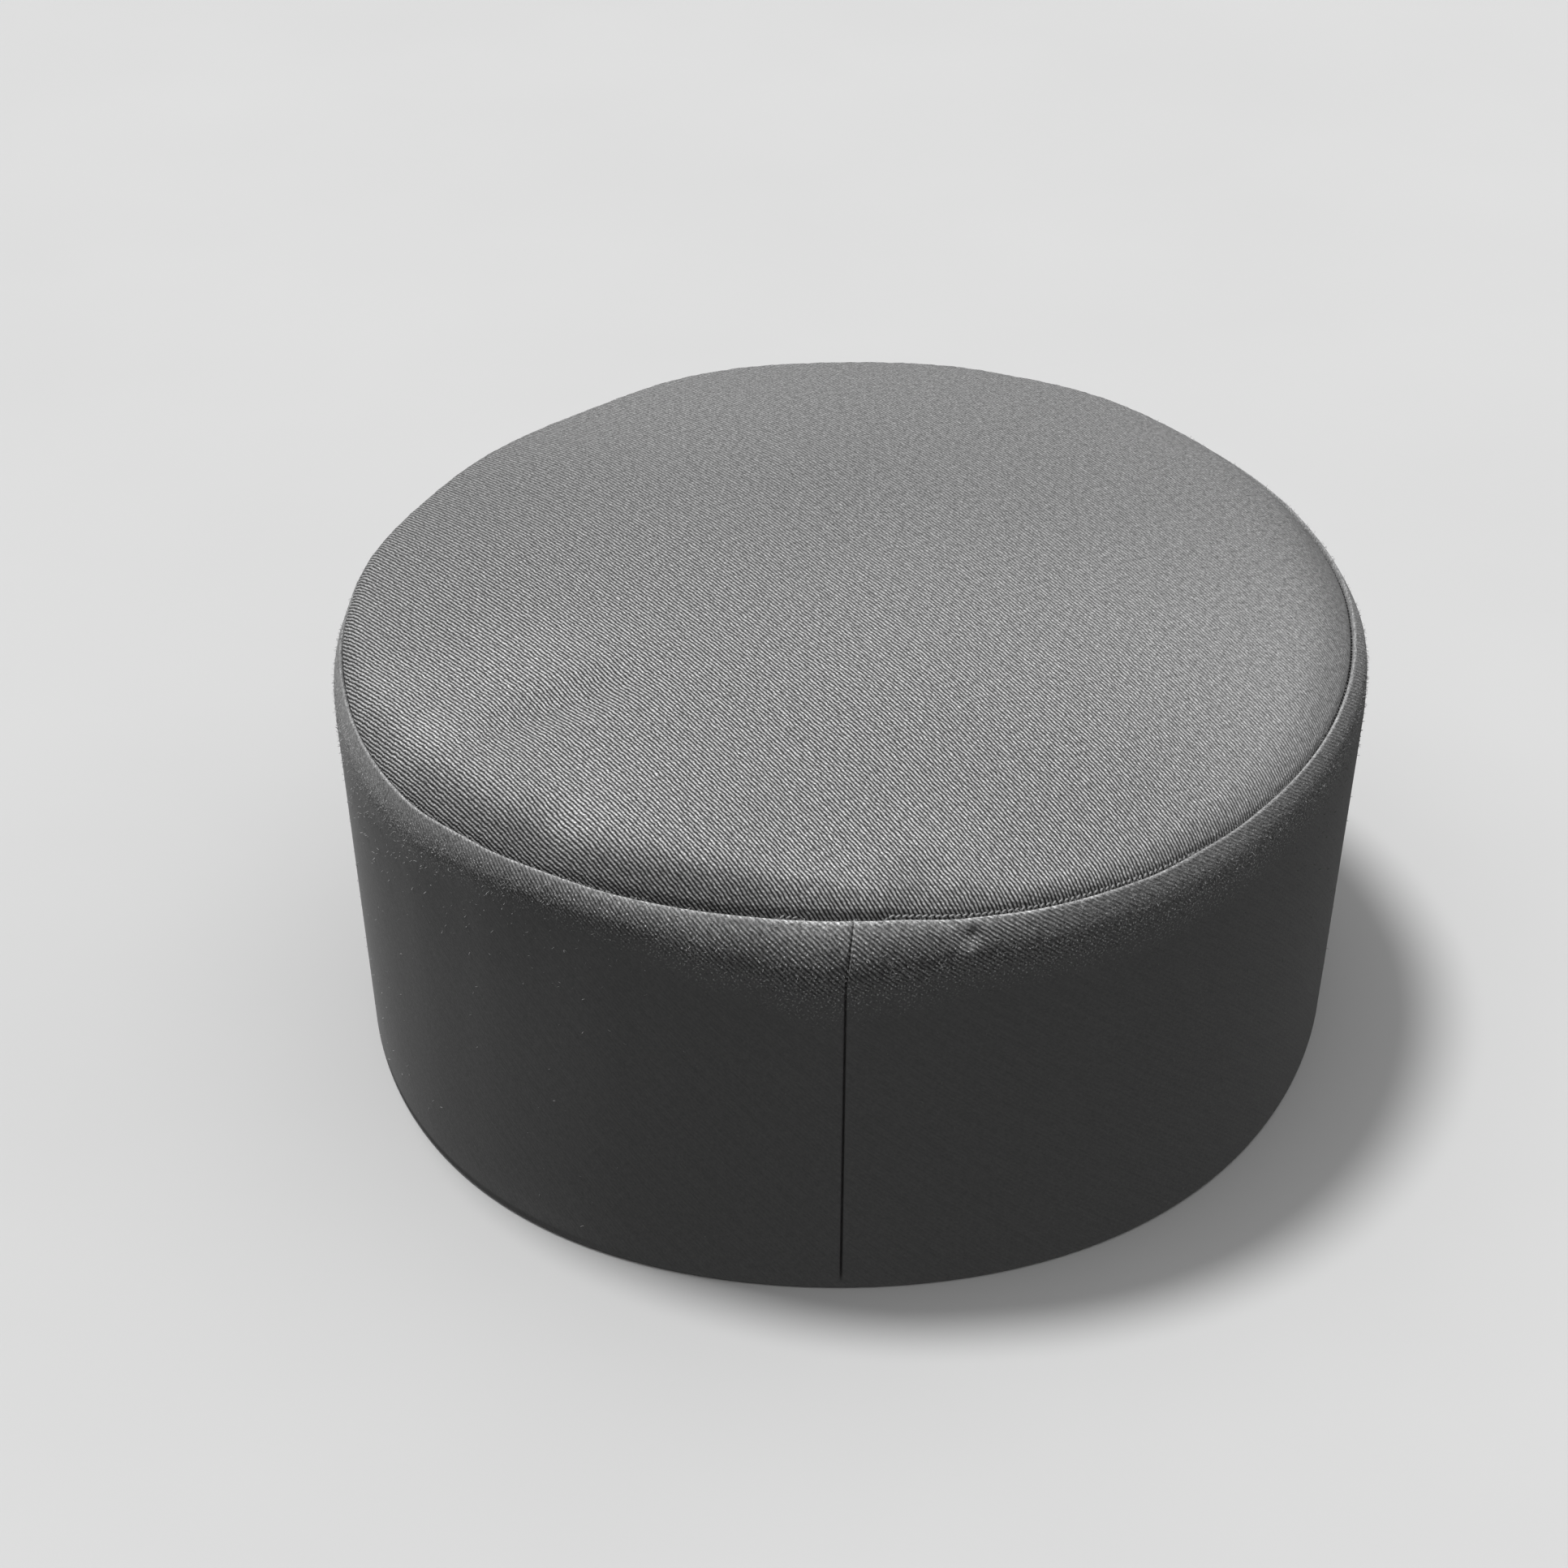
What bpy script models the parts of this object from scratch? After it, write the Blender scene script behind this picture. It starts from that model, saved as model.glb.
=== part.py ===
"""A round prayer cap: a domed top panel of twill sewn inside the folded edge of a stiff side band.

Metres, +Z up and +Y towards the forehead, so the band's closing seam is at the back, at -Y.
The origin is on the plane of the lower edge, midway along and across the cap.
Every outline comes from one oval, the seam between top and band, and from the sizes named below.
"""

import math

import bmesh
import bpy

# The seam between the top panel and the band, seen from above
SEAM_HALF_WIDTH = 0.0874
SEAM_HALF_LENGTH = 0.1040
FRONT_NARROWING = 0.0257
FULLER_BACK = 0.045
SEAM_HEIGHT = 0.0680

# The front half leaves the smooth oval a little, in soft flats and corners: angle from +X, shift outwards
OVAL_EASE = (
    {"angle": -15, "shift": 0.0},
    {"angle": 0, "shift": -0.0002},
    {"angle": 20, "shift": -0.0013},
    {"angle": 38, "shift": -0.0016},
    {"angle": 55, "shift": -0.0010},
    {"angle": 72, "shift": -0.0027},
    {"angle": 90, "shift": -0.0034},
    {"angle": 117, "shift": -0.0008},
    {"angle": 135, "shift": -0.0023},
    {"angle": 155, "shift": -0.0020},
    {"angle": 175, "shift": -0.0003},
    {"angle": 190, "shift": 0.0},
)

# The side band: a strip folded over at the top, standing nearly upright
BAND_THICKNESS = 0.0025
LIP_WIDTH = 0.0007
LIP_RISE = 0.0012
SHOULDER_WIDTH = 0.0025
SHOULDER_DROP = 0.0085
SHOULDER_STEPS = 5
WALL_STEPS = 6
INNER_WALL_STEPS = 4
RIM_WIDTH_SCALE = 0.9474
RIM_LENGTH_SCALE = 1.0074
RIM_SHIFT_LEFT = 0.0011
RIM_ROUNDING = 0.0006

# The top panel: a shallow dome with a rolled edge that dips into the seam
TOP_THICKNESS = 0.0020
DOME_RISE = 0.0129
EDGE_DIP = 0.0010
ROLL_POWER = 2.4
SEAM_GAP = 0.0003

# The rolled edge round the oval: angle from +X, how high and how wide the roll is, fullness of the dome
EDGE_ROLL = (
    {"angle": -180, "rise": 0.0024, "width": 0.0034, "fullness": 2.5},
    {"angle": -150, "rise": 0.0034, "width": 0.0060, "fullness": 2.3},
    {"angle": -115, "rise": 0.0034, "width": 0.0060, "fullness": 2.3},
    {"angle": -95, "rise": 0.0026, "width": 0.0045, "fullness": 2.6},
    {"angle": -75, "rise": 0.0017, "width": 0.0024, "fullness": 3.0},
    {"angle": -40, "rise": 0.0016, "width": 0.0022, "fullness": 3.0},
    {"angle": 0, "rise": 0.0020, "width": 0.0026, "fullness": 2.6},
    {"angle": 25, "rise": 0.0022, "width": 0.0028, "fullness": 2.4},
    {"angle": 60, "rise": 0.0016, "width": 0.0026, "fullness": 2.4},
    {"angle": 90, "rise": 0.0012, "width": 0.0026, "fullness": 2.4},
    {"angle": 120, "rise": 0.0016, "width": 0.0026, "fullness": 2.4},
    {"angle": 155, "rise": 0.0023, "width": 0.0032, "fullness": 2.5},
    {"angle": 180, "rise": 0.0024, "width": 0.0034, "fullness": 2.5},
)

# Where the cap is divided round its oval
EVEN_STATIONS = 116
STATION_CLEARANCE = 0.0022

# The closing seam of the band, a shallow groove that leans a little towards the middle
BACK_SEAM_TOP_X = 0.0025
BACK_SEAM_RIM_X = 0.0009
BACK_SEAM_DEPTH = 0.0004
BACK_SEAM_HALF_WIDTH = 0.0009

# Dents pressed into the band: place along the back, height, half width, half height, depth
BAND_DENTS = (
    {"x": 0.0224, "z": 0.0632, "half_width": 0.0022, "half_height": 0.0045, "depth": 0.0010},
    {"x": 0.0125, "z": 0.0600, "half_width": 0.0048, "half_height": 0.0050, "depth": 0.0004},
)

# Slack folds in the top panel: a soft furrow from one end to the other, half width, depth
TOP_FOLDS = (
    {"from": (-0.0600, -0.0580), "to": (-0.0360, -0.0370), "half_width": 0.0100, "depth": 0.0011},
    {"from": (-0.0100, -0.0900), "to": (0.0160, -0.0860), "half_width": 0.0060, "depth": 0.0004},
)

# Rings of the top panel, from the middle of the dome out, as shares of the way to the seam
OUTER_RINGS = (0.12, 0.26, 0.40, 0.53, 0.65, 0.76, 0.85, 0.91, 0.945, 0.965, 0.98, 0.991, 1.0)
INNER_RINGS = (0.14, 0.34, 0.54, 0.74, 0.88, 0.94, 0.975, 1.0)

TOP_COLOUR = (0.245, 0.245, 0.250)
BAND_COLOUR = (0.225, 0.225, 0.230)
CLOTH_ROUGHNESS = 0.92


def oval_point(angle):
    """The seam oval at an angle from +X: an ellipse that is fuller behind and narrower in front."""
    across = math.cos(angle)
    along = math.sin(angle)
    x = SEAM_HALF_WIDTH * across * (1 - FRONT_NARROWING * along) * (1 - FULLER_BACK * along**3)
    y = SEAM_HALF_LENGTH * along * (1 - FULLER_BACK * along * across**2)
    return x, y


def oval_outward(angle):
    """The direction that points straight out of the oval at an angle."""
    step = 0.001
    x_before, y_before = oval_point(angle - step)
    x_after, y_after = oval_point(angle + step)
    length = math.hypot(x_after - x_before, y_after - y_before)
    return (y_after - y_before) / length, (x_before - x_after) / length


def row_value(rows, angle, column):
    """One column of a table of angles in degrees, with smooth steps from row to row."""
    degrees = math.degrees(angle)
    if degrees < rows[0]["angle"]:
        degrees += 360
    for before, after in zip(rows, rows[1:]):
        if degrees <= after["angle"]:
            share = (degrees - before["angle"]) / (after["angle"] - before["angle"])
            share = share * share * (3 - 2 * share)
            return before[column] + (after[column] - before[column]) * share
    return rows[-1][column]


def back_angle(x):
    """The angle of the point of the oval's back half that lies at x."""
    return -math.pi / 2 + math.asin(x / SEAM_HALF_WIDTH)


def stations():
    """Angles round the oval: even ones, with closer ones at the back seam and at each dent."""
    fine = [back_angle(BACK_SEAM_TOP_X + BACK_SEAM_HALF_WIDTH * share) for share in (-2.4, -1, 0, 1, 2.4)]
    for dent in BAND_DENTS:
        fine += [back_angle(dent["x"] + dent["half_width"] * share) for share in (-1, -0.5, 0, 0.5, 1)]
    clearance = STATION_CLEARANCE / SEAM_HALF_WIDTH
    even = [-math.pi + 2 * math.pi * step / EVEN_STATIONS for step in range(EVEN_STATIONS)]
    kept = [angle for angle in even if all(abs(angle - other) > clearance for other in fine)]
    return sorted(kept + fine)


def soft_dent(distance):
    """A smooth bump: 1 in the middle, 0 from a distance of 1 outwards."""
    return math.cos(0.5 * math.pi * distance) ** 2 if distance < 1 else 0.0


def band_press(x, z):
    """How far the band's outer face is pressed in at a place on its back."""
    seam_x = BACK_SEAM_RIM_X + (BACK_SEAM_TOP_X - BACK_SEAM_RIM_X) * z / SEAM_HEIGHT
    pressed = BACK_SEAM_DEPTH * soft_dent(abs(x - seam_x) / (2 * BACK_SEAM_HALF_WIDTH))
    for dent in BAND_DENTS:
        across = (x - dent["x"]) / (2 * dent["half_width"])
        up = (z - dent["z"]) / (2 * dent["half_height"])
        pressed += dent["depth"] * soft_dent(math.hypot(across, up))
    return pressed


def band_point(angle, outward, z):
    """A point of the band, that far outside the seam oval, where the wall follows the rim's own oval."""
    x, y = oval_point(angle)
    out_x, out_y = oval_outward(angle)
    lowered = max(0.0, 1 - z / (SEAM_HEIGHT - SHOULDER_DROP))
    outward += row_value(OVAL_EASE, angle, "shift") * (1 - lowered)
    x = (x + out_x * outward) * (1 - (1 - RIM_WIDTH_SCALE) * lowered) - RIM_SHIFT_LEFT * lowered
    y = (y + out_y * outward) * (1 - (1 - RIM_LENGTH_SCALE) * lowered)
    return x, y, z


def outer_band_ring(angles, outward, z):
    """One level of the band's outer face, with the back seam and the dents pressed into it.

    At the crease the face meets the top panel's edge, so the pressing dies out there.
    """
    yielding = min(1.0, (outward - SEAM_GAP / 2) / SHOULDER_WIDTH)
    ring = []
    for angle in angles:
        x, y, height = band_point(angle, outward, z)
        pressed = yielding * band_press(x, z) if y < 0 else 0.0
        out_x, out_y = oval_outward(angle)
        ring.append((x - out_x * pressed, y - out_y * pressed, height))
    return ring


def band_rings(angles):
    """The band's closed section, as rings: up the crease, over the shoulder, down, under and back up."""
    rings = []
    foot = SEAM_GAP / 2
    for outward, sink in ((foot, LIP_RISE), (foot + LIP_WIDTH / 3, LIP_RISE / 3), (foot + LIP_WIDTH, 0.0)):
        rings.append(outer_band_ring(angles, outward, SEAM_HEIGHT - sink))
    lip = foot + LIP_WIDTH
    shoulder_foot = SEAM_HEIGHT - SHOULDER_DROP
    for step in range(1, SHOULDER_STEPS + 1):
        turn = 0.5 * math.pi * step / SHOULDER_STEPS
        outward = lip + (SHOULDER_WIDTH - lip) * math.sin(turn)
        rings.append(outer_band_ring(angles, outward, SEAM_HEIGHT - SHOULDER_DROP * (1 - math.cos(turn))))
    for step in range(1, WALL_STEPS + 1):
        z = shoulder_foot + (RIM_ROUNDING - shoulder_foot) * step / WALL_STEPS
        rings.append(outer_band_ring(angles, SHOULDER_WIDTH, z))
    inner = SHOULDER_WIDTH - BAND_THICKNESS + SEAM_GAP / 2
    for outward in (SHOULDER_WIDTH - RIM_ROUNDING, inner + RIM_ROUNDING):
        rings.append([band_point(angle, outward, 0.0) for angle in angles])
    for step in range(INNER_WALL_STEPS):
        z = RIM_ROUNDING + (shoulder_foot - RIM_ROUNDING) * step / (INNER_WALL_STEPS - 1)
        rings.append([band_point(angle, inner, z) for angle in angles])
    return rings


def fold_depth(x, y):
    """How far the slack folds lower the top panel at a place."""
    lowered = 0.0
    for fold in TOP_FOLDS:
        start_x, start_y = fold["from"]
        run_x, run_y = fold["to"][0] - start_x, fold["to"][1] - start_y
        along = ((x - start_x) * run_x + (y - start_y) * run_y) / (run_x**2 + run_y**2)
        along = min(1.0, max(0.0, along))
        aside = math.hypot(x - start_x - run_x * along, y - start_y - run_y * along)
        lowered += fold["depth"] * soft_dent(aside / (2 * fold["half_width"]))
    return lowered


def dome_height(share, angle, x, y):
    """Height of the top panel's outer face, that share of the way from the middle to the seam."""
    rise = row_value(EDGE_ROLL, angle, "rise")
    width = row_value(EDGE_ROLL, angle, "width")
    fullness = row_value(EDGE_ROLL, angle, "fullness")
    to_edge = (1 - share) * math.hypot(x, y) / share if share > 0 else SEAM_HALF_WIDTH
    sunk = (rise + EDGE_DIP) * max(0.0, 1 - to_edge / width) ** ROLL_POWER
    z = SEAM_HEIGHT + rise - sunk + (DOME_RISE - rise) * (1 - share**fullness)
    return z - fold_depth(x, y) * (1 - share**8)


def dome_ring(angles, share, lowered):
    """One ring of the top panel, lowered from its outer face by a thickness."""
    ring = []
    for angle in angles:
        x, y = oval_point(angle)
        out_x, out_y = oval_outward(angle)
        outward = row_value(OVAL_EASE, angle, "shift") - SEAM_GAP / 2
        x = (x + out_x * outward) * share
        y = (y + out_y * outward) * share
        ring.append((x, y, dome_height(share, angle, x, y) - lowered))
    return ring


def link_rings(mesh, rings, close_loop):
    """Quads between each ring and the next, and back to the first where the section closes."""
    rows = [[mesh.verts.new(place) for place in ring] for ring in rings]
    count = len(rows[0])
    pairs = list(zip(rows, rows[1:]))
    if close_loop:
        pairs.append((rows[-1], rows[0]))
    for upper, lower in pairs:
        for i in range(count):
            j = (i + 1) % count
            mesh.faces.new((upper[i], lower[i], lower[j], upper[j]))
    return rows


def close_middle(mesh, row, height):
    """Closes the middle of a dome with triangles round one point."""
    middle = mesh.verts.new((0.0, 0.0, height))
    for i, corner in enumerate(row):
        mesh.faces.new((middle, corner, row[(i + 1) % len(row)]))


def finished_object(name, mesh, material):
    """Turns a bmesh into a named, smooth-shaded object with one material."""
    bmesh.ops.recalc_face_normals(mesh, faces=mesh.faces)
    data = bpy.data.meshes.new(name)
    mesh.to_mesh(data)
    mesh.free()
    data.materials.append(material)
    data.shade_smooth()
    data.set_sharp_from_angle(angle=math.radians(50))
    made = bpy.data.objects.new(name, data)
    bpy.context.scene.collection.objects.link(made)
    return made


def cloth_material(name, colour):
    """Matt cotton twill in one grey."""
    material = bpy.data.materials.new(name)
    material.use_nodes = True
    shader = material.node_tree.nodes["Principled BSDF"]
    shader.inputs["Base Color"].default_value = (*colour, 1)
    shader.inputs["Roughness"].default_value = CLOTH_ROUGHNESS
    shader.inputs["Metallic"].default_value = 0.0
    return material


def make_side_band(angles):
    """The stiff strip round the head, open above and below."""
    mesh = bmesh.new()
    link_rings(mesh, band_rings(angles), close_loop=True)
    return finished_object("side_band", mesh, cloth_material("band twill", BAND_COLOUR))


def make_crown_top(angles):
    """The domed top panel, whose edge stands against the inside of the band's folded lip."""
    mesh = bmesh.new()
    outer = [dome_ring(angles, share, 0.0) for share in OUTER_RINGS]
    inner = [dome_ring(angles, share, TOP_THICKNESS) for share in reversed(INNER_RINGS)]
    rows = link_rings(mesh, outer + inner, close_loop=False)
    middle_height = dome_height(0.0, 0.0, 0.0, 0.0)
    close_middle(mesh, rows[0], middle_height)
    close_middle(mesh, rows[-1], middle_height - TOP_THICKNESS)
    return finished_object("crown_top", mesh, cloth_material("top twill", TOP_COLOUR))


def main():
    for existing in list(bpy.data.objects):
        bpy.data.objects.remove(existing)
    angles = stations()
    make_side_band(angles)
    make_crown_top(angles)


main()
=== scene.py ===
"""A round prayer cap, dressed: its crown and band of twill, seam stitches, loose fibres and a stage.

The file is laid out as an add-on, and is run as a script. It is in metres, with +Z up and +Y towards the
forehead. The band's closing seam is at the back, at -Y, where the camera stands. Every outline comes from
one oval, the seam between crown panel and band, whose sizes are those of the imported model.
"""

import math
from functools import partial

import bmesh
import bpy
import numpy as np
from bpy.props import FloatProperty, FloatVectorProperty, IntProperty, PointerProperty
from mathutils import Matrix, Vector


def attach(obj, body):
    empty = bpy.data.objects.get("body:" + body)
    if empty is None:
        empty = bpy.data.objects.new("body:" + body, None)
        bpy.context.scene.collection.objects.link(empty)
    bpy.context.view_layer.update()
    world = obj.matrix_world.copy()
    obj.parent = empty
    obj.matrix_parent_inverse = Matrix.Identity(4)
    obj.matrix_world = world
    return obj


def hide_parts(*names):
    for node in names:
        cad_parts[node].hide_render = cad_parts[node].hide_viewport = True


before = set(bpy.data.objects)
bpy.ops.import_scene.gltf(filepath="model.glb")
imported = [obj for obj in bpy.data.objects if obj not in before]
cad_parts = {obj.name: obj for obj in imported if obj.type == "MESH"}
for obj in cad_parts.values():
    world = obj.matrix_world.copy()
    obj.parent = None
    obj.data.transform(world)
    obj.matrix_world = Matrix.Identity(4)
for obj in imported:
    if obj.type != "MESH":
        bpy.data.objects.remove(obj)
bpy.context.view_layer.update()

bl_info = {
    "name": "Prayer cap",
    "version": (1, 0, 0),
    "blender": (4, 5, 0),
    "location": "View3D > Sidebar > Prayer cap",
    "description": "Builds a twill prayer cap round its packed model, with its stitches, fibres and stage",
    "category": "Object",
}

# The seam oval and the band's section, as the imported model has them
SEAM_HALF_WIDTH = 0.0874
SEAM_HALF_LENGTH = 0.1040
FRONT_NARROWING = 0.0257
FULLER_BACK = 0.045
SEAM_HEIGHT = 0.0680
SEAM_GAP = 0.0003
BAND_THICKNESS = 0.0025
LIP_WIDTH = 0.0005
LIP_RISE = 0.0012
LIP_INSIDE = 0.0006
SHOULDER_WIDTH = 0.0025
SHOULDER_DROP = 0.0085
RIM_WIDTH_SCALE = 0.9474
RIM_LENGTH_SCALE = 1.0074
RIM_SHIFT_LEFT = 0.0011
RIM_ROUNDING = 0.0006
BACK_SEAM_TOP_X = 0.0025
BACK_SEAM_RIM_X = 0.0009
DOME_RISE = 0.0129
ROLL_POWER = 2.4
TOP_THICKNESS = 0.0020

# Where the front half leaves the smooth oval, in soft flats and corners: angle from +X, shift outwards
OVAL_EASE = (
    (-15, 0.0),
    (0, -0.0002),
    (20, -0.0013),
    (38, -0.0016),
    (55, -0.0010),
    (72, -0.0027),
    (90, -0.0034),
    (117, -0.0008),
    (135, -0.0023),
    (155, -0.0020),
    (175, -0.0003),
    (190, 0.0),
)

# The crown's rolled edge round the oval: angle from +X, how high and how wide it is, fullness of the dome,
# how far its edge dips into the crease, and how much of that is a steep turned edge
EDGE_ROLL = (
    (-180, 0.0024, 0.0034, 2.5, -0.0003, 0.0000),
    (-165, 0.0024, 0.0036, 2.5, 0.0000, 0.0000),
    (-152, 0.0036, 0.0070, 2.4, 0.0006, 0.0003),
    (-140, 0.0050, 0.0096, 2.3, 0.0009, 0.0008),
    (-129, 0.0058, 0.0100, 2.2, 0.0007, 0.0010),
    (-118, 0.0062, 0.0100, 2.2, 0.0006, 0.0012),
    (-104, 0.0056, 0.0090, 2.2, 0.0008, 0.0015),
    (-94, 0.0040, 0.0060, 2.4, 0.0008, 0.0015),
    (-86, 0.0030, 0.0044, 2.6, 0.0009, 0.0013),
    (-80, 0.0032, 0.0064, 2.5, 0.0011, 0.0011),
    (-71, 0.0018, 0.0030, 2.9, 0.0012, 0.0008),
    (-55, 0.0018, 0.0044, 2.8, 0.0010, 0.0007),
    (-35, 0.0022, 0.0060, 2.6, 0.0006, 0.0005),
    (-18, 0.0026, 0.0076, 2.5, 0.0004, 0.0004),
    (5, 0.0028, 0.0082, 2.4, 0.0003, 0.0003),
    (25, 0.0024, 0.0044, 2.4, 0.0004, 0.0002),
    (60, 0.0016, 0.0026, 2.4, 0.0010, 0.0000),
    (90, 0.0012, 0.0026, 2.4, 0.0010, 0.0000),
    (120, 0.0016, 0.0026, 2.4, 0.0006, 0.0000),
    (150, 0.0023, 0.0032, 2.5, -0.0002, 0.0000),
    (170, 0.0024, 0.0034, 2.5, 0.0001, 0.0000),
    (180, 0.0024, 0.0034, 2.5, -0.0003, 0.0000),
)

# How wide that turned edge is, and how it steepens, as a power
TURNED_WIDTH = 0.0007
TURNED_POWER = 1.6

# The folded shoulder round the oval: angle from +X, its length over the cloth, how steeply it starts in
# degrees, how far its lip lies below the seam's height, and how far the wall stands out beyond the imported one
SHOULDER = (
    (-180, 0.0042, 66.0, 0.0008, 0.0000),
    (-165, 0.0056, 68.7, 0.0002, 0.0000),
    (-150, 0.0060, 71.8, 0.0000, 0.0000),
    (-141, 0.0060, 73.9, 0.0000, -0.0002),
    (-130, 0.0052, 67.8, -0.0004, -0.0010),
    (-120, 0.0048, 60.5, -0.0004, -0.0014),
    (-110, 0.0054, 59.3, -0.0003, -0.0009),
    (-100, 0.0078, 56.2, -0.0004, 0.0005),
    (-91, 0.0106, 56.5, -0.00015, 0.0014),
    (-84, 0.0096, 55.8, -0.0002, 0.0012),
    (-77, 0.0078, 58.9, 0.0001, 0.0010),
    (-69, 0.0074, 61.6, 0.0002, 0.0010),
    (-58, 0.0074, 63.3, 0.0001, 0.0007),
    (-48, 0.0070, 60.2, -0.0002, 0.0002),
    (-38, 0.0064, 61.1, -0.0004, -0.0003),
    (-20, 0.0060, 60.4, -0.0004, -0.0003),
    (0, 0.0060, 55.0, -0.0002, 0.0001),
    (15, 0.0060, 62.0, 0.0000, 0.0001),
    (60, 0.0070, 65.0, 0.0000, 0.0000),
    (120, 0.0070, 65.0, 0.0000, 0.0000),
    (150, 0.0030, 77.0, 0.0012, 0.0000),
    (170, 0.0030, 77.0, 0.0012, 0.0000),
    (180, 0.0042, 66.0, 0.0008, 0.0000),
)

# How the shoulder steepens along it, as a power, and the share of its length over which it starts to slope
SHOULDER_TURN = 1.7
SHOULDER_FOLD = 0.05

# The slack furrow on the left of the crown: points of its valley with half width and depth there
FURROW = (
    (-0.0626, -0.0647, 0.0040, 0.0000),
    (-0.0578, -0.0588, 0.0046, 0.0008),
    (-0.0503, -0.0530, 0.0050, 0.0013),
    (-0.0432, -0.0489, 0.0050, 0.0013),
    (-0.0374, -0.0452, 0.0046, 0.0008),
    (-0.0323, -0.0408, 0.0040, 0.0000),
)

# In how many steps its valley is followed, how softly they run together, and how much painted shade darkens
# the crown in it for each metre of depth
FURROW_STEPS = 81
FURROW_BLEND = 0.004
FURROW_PAINTED_SHADE = 55.0

# Small dents of the crown: place, half width, depth
DENTS = (
    (0.0150, -0.0962, 0.0032, 0.0006),
    (-0.0467, -0.0844, 0.0050, 0.0009),
)

# Patches of painted highlight and painted shade on the crown: place, half width, how much paler or darker
PAINTED_LIGHT_PATCHES = (
    (-0.0531, -0.0355, 0.0110, 0.09),
    (-0.0690, -0.0555, 0.0065, 0.15),
    (-0.0776, -0.0378, 0.0070, 0.07),
    (-0.0480, -0.0815, 0.0045, -0.11),
    (-0.0415, -0.0835, 0.0050, 0.10),
    (0.0120, -0.0962, 0.0042, -0.16),
    (-0.0365, -0.0779, 0.0090, 0.05),
    (0.0018, -0.0971, 0.0070, 0.07),
    (0.0144, -0.0882, 0.0080, 0.06),
    (-0.0737, 0.0444, 0.0260, -0.05),
    (0.0011, 0.0241, 0.0300, -0.03),
)

# How much painted shade darkens the crown towards the forehead, and between which places
FORWARD_PAINTED_SHADE = 0.27
FORWARD_PAINTED_SHADE_BETWEEN = (-0.055, 0.035)

# How much the crown's ribs are rubbed away: at least this share, and more towards the front and at the
# right: share, and between which places
RUBBED_ON_CROWN = 0.13
RUBBED_FORWARD = (0.79, -0.062, 0.052)
RUBBED_AT_RIGHT = (0.25, 0.035, 0.080)

# Gathers where the crown is drawn in by the stitches: pitches, height, and shares of the way to the seam
# between which they begin
GATHER_PITCHES = (0.0021, 0.0034, 0.0056, 0.0089)
GATHER_HEIGHT = 0.00010
GATHER_FROM = (0.95, 0.985)

# How much painted shade darkens the crown along its edge, standing in for steep ribs that shade one another:
# angle, share, width
EDGE_PAINTED_SHADE = (
    (-180, 0.00, 0.0060),
    (-160, 0.02, 0.0060),
    (-148, 0.17, 0.0062),
    (-140, 0.26, 0.0074),
    (-129, 0.34, 0.0068),
    (-119, 0.42, 0.0062),
    (-109, 0.46, 0.0074),
    (-100, 0.39, 0.0070),
    (-92, 0.16, 0.0060),
    (-84, 0.09, 0.0050),
    (-77, 0.04, 0.0050),
    (-70, -0.09, 0.0060),
    (-60, -0.09, 0.0060),
    (-52, 0.00, 0.0050),
    (-42, -0.06, 0.0050),
    (-32, 0.00, 0.0060),
    (-15, 0.10, 0.0120),
    (10, 0.16, 0.0140),
    (40, 0.06, 0.0120),
    (60, 0.00, 0.0060),
    (180, 0.00, 0.0060),
)

# How pale the lip is round the oval, partly rubbed and partly a painted highlight: angle, share of the cloth's
# tone
LIP_WEAR_AND_HIGHLIGHT = (
    (-180, 0.85),
    (-164, 0.95),
    (-148, 1.10),
    (-130, 1.30),
    (-120, 1.25),
    (-110, 1.40),
    (-100, 1.30),
    (-92, 1.70),
    (-84, 1.50),
    (-70, 1.60),
    (-58, 1.20),
    (-48, 1.00),
    (-38, 1.12),
    (-20, 1.15),
    (-8, 1.00),
    (15, 0.90),
    (90, 0.95),
    (180, 0.85),
)

# How the painted light falls off over the shoulder as it turns from the light: angle, paler share of painted
# highlight under the lip, darker share of painted shade above its end
SHOULDER_PAINTED_FALLOFF = (
    (-180, 0.00, 0.00),
    (-160, 0.00, 0.03),
    (-148, 0.00, 0.10),
    (-140, 0.00, 0.13),
    (-130, 0.00, 0.17),
    (-120, 0.00, 0.16),
    (-110, 0.40, 0.14),
    (-104, 0.04, 0.26),
    (-97, -0.06, 0.30),
    (-92, 0.20, 0.24),
    (-86, 0.12, 0.17),
    (-80, 0.24, 0.16),
    (-70, 0.10, 0.02),
    (-60, 0.06, 0.00),
    (-40, 0.04, 0.00),
    (-30, 0.00, 0.00),
    (180, 0.00, 0.00),
)

# Broad painted highlight and painted shade on the shoulder: angles between which each fades in and out, heights
# between which it fades in, and how much paler or darker it is
SHOULDER_PAINTED_TONES = (
    ((-166, -145), (-112, -100), (0.0580, 0.0630), -0.12),
    ((-124, -106), (-58, -34), (0.0560, 0.0650), 0.08),
)

# The nap over the shoulder, in shares of its length from the lip: where the painted highlight under the lip
# fades out, where the painted shade above its end fades in and out, and from where and how softly it is pressed
PAINTED_PALER_OUT = (0.06, 0.28)
PAINTED_DARKER_IN = (0.12, 0.42)
PAINTED_DARKER_OUT = (0.60, 0.90)
PRESSED_FROM = 0.62
PRESSED_SOFTLY = 0.55
PRESSED_FLAT = 4.0

# How much the band's ribs are rubbed away: behind, at least this share and more along the lip, and all of
# them and more towards the sides, in degrees from the middle of the clear ribs
RUBBED_BEHIND = 0.55
RUBBED_AT_LIP = 0.37
RUBBED_LIP_OUT = (0.04, 0.24)
RUBBED_AT_SIDES = 1.3
RUBBED_SIDES_IN = (6, 46)
CLEAR_RIBS_AT = -98
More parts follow.
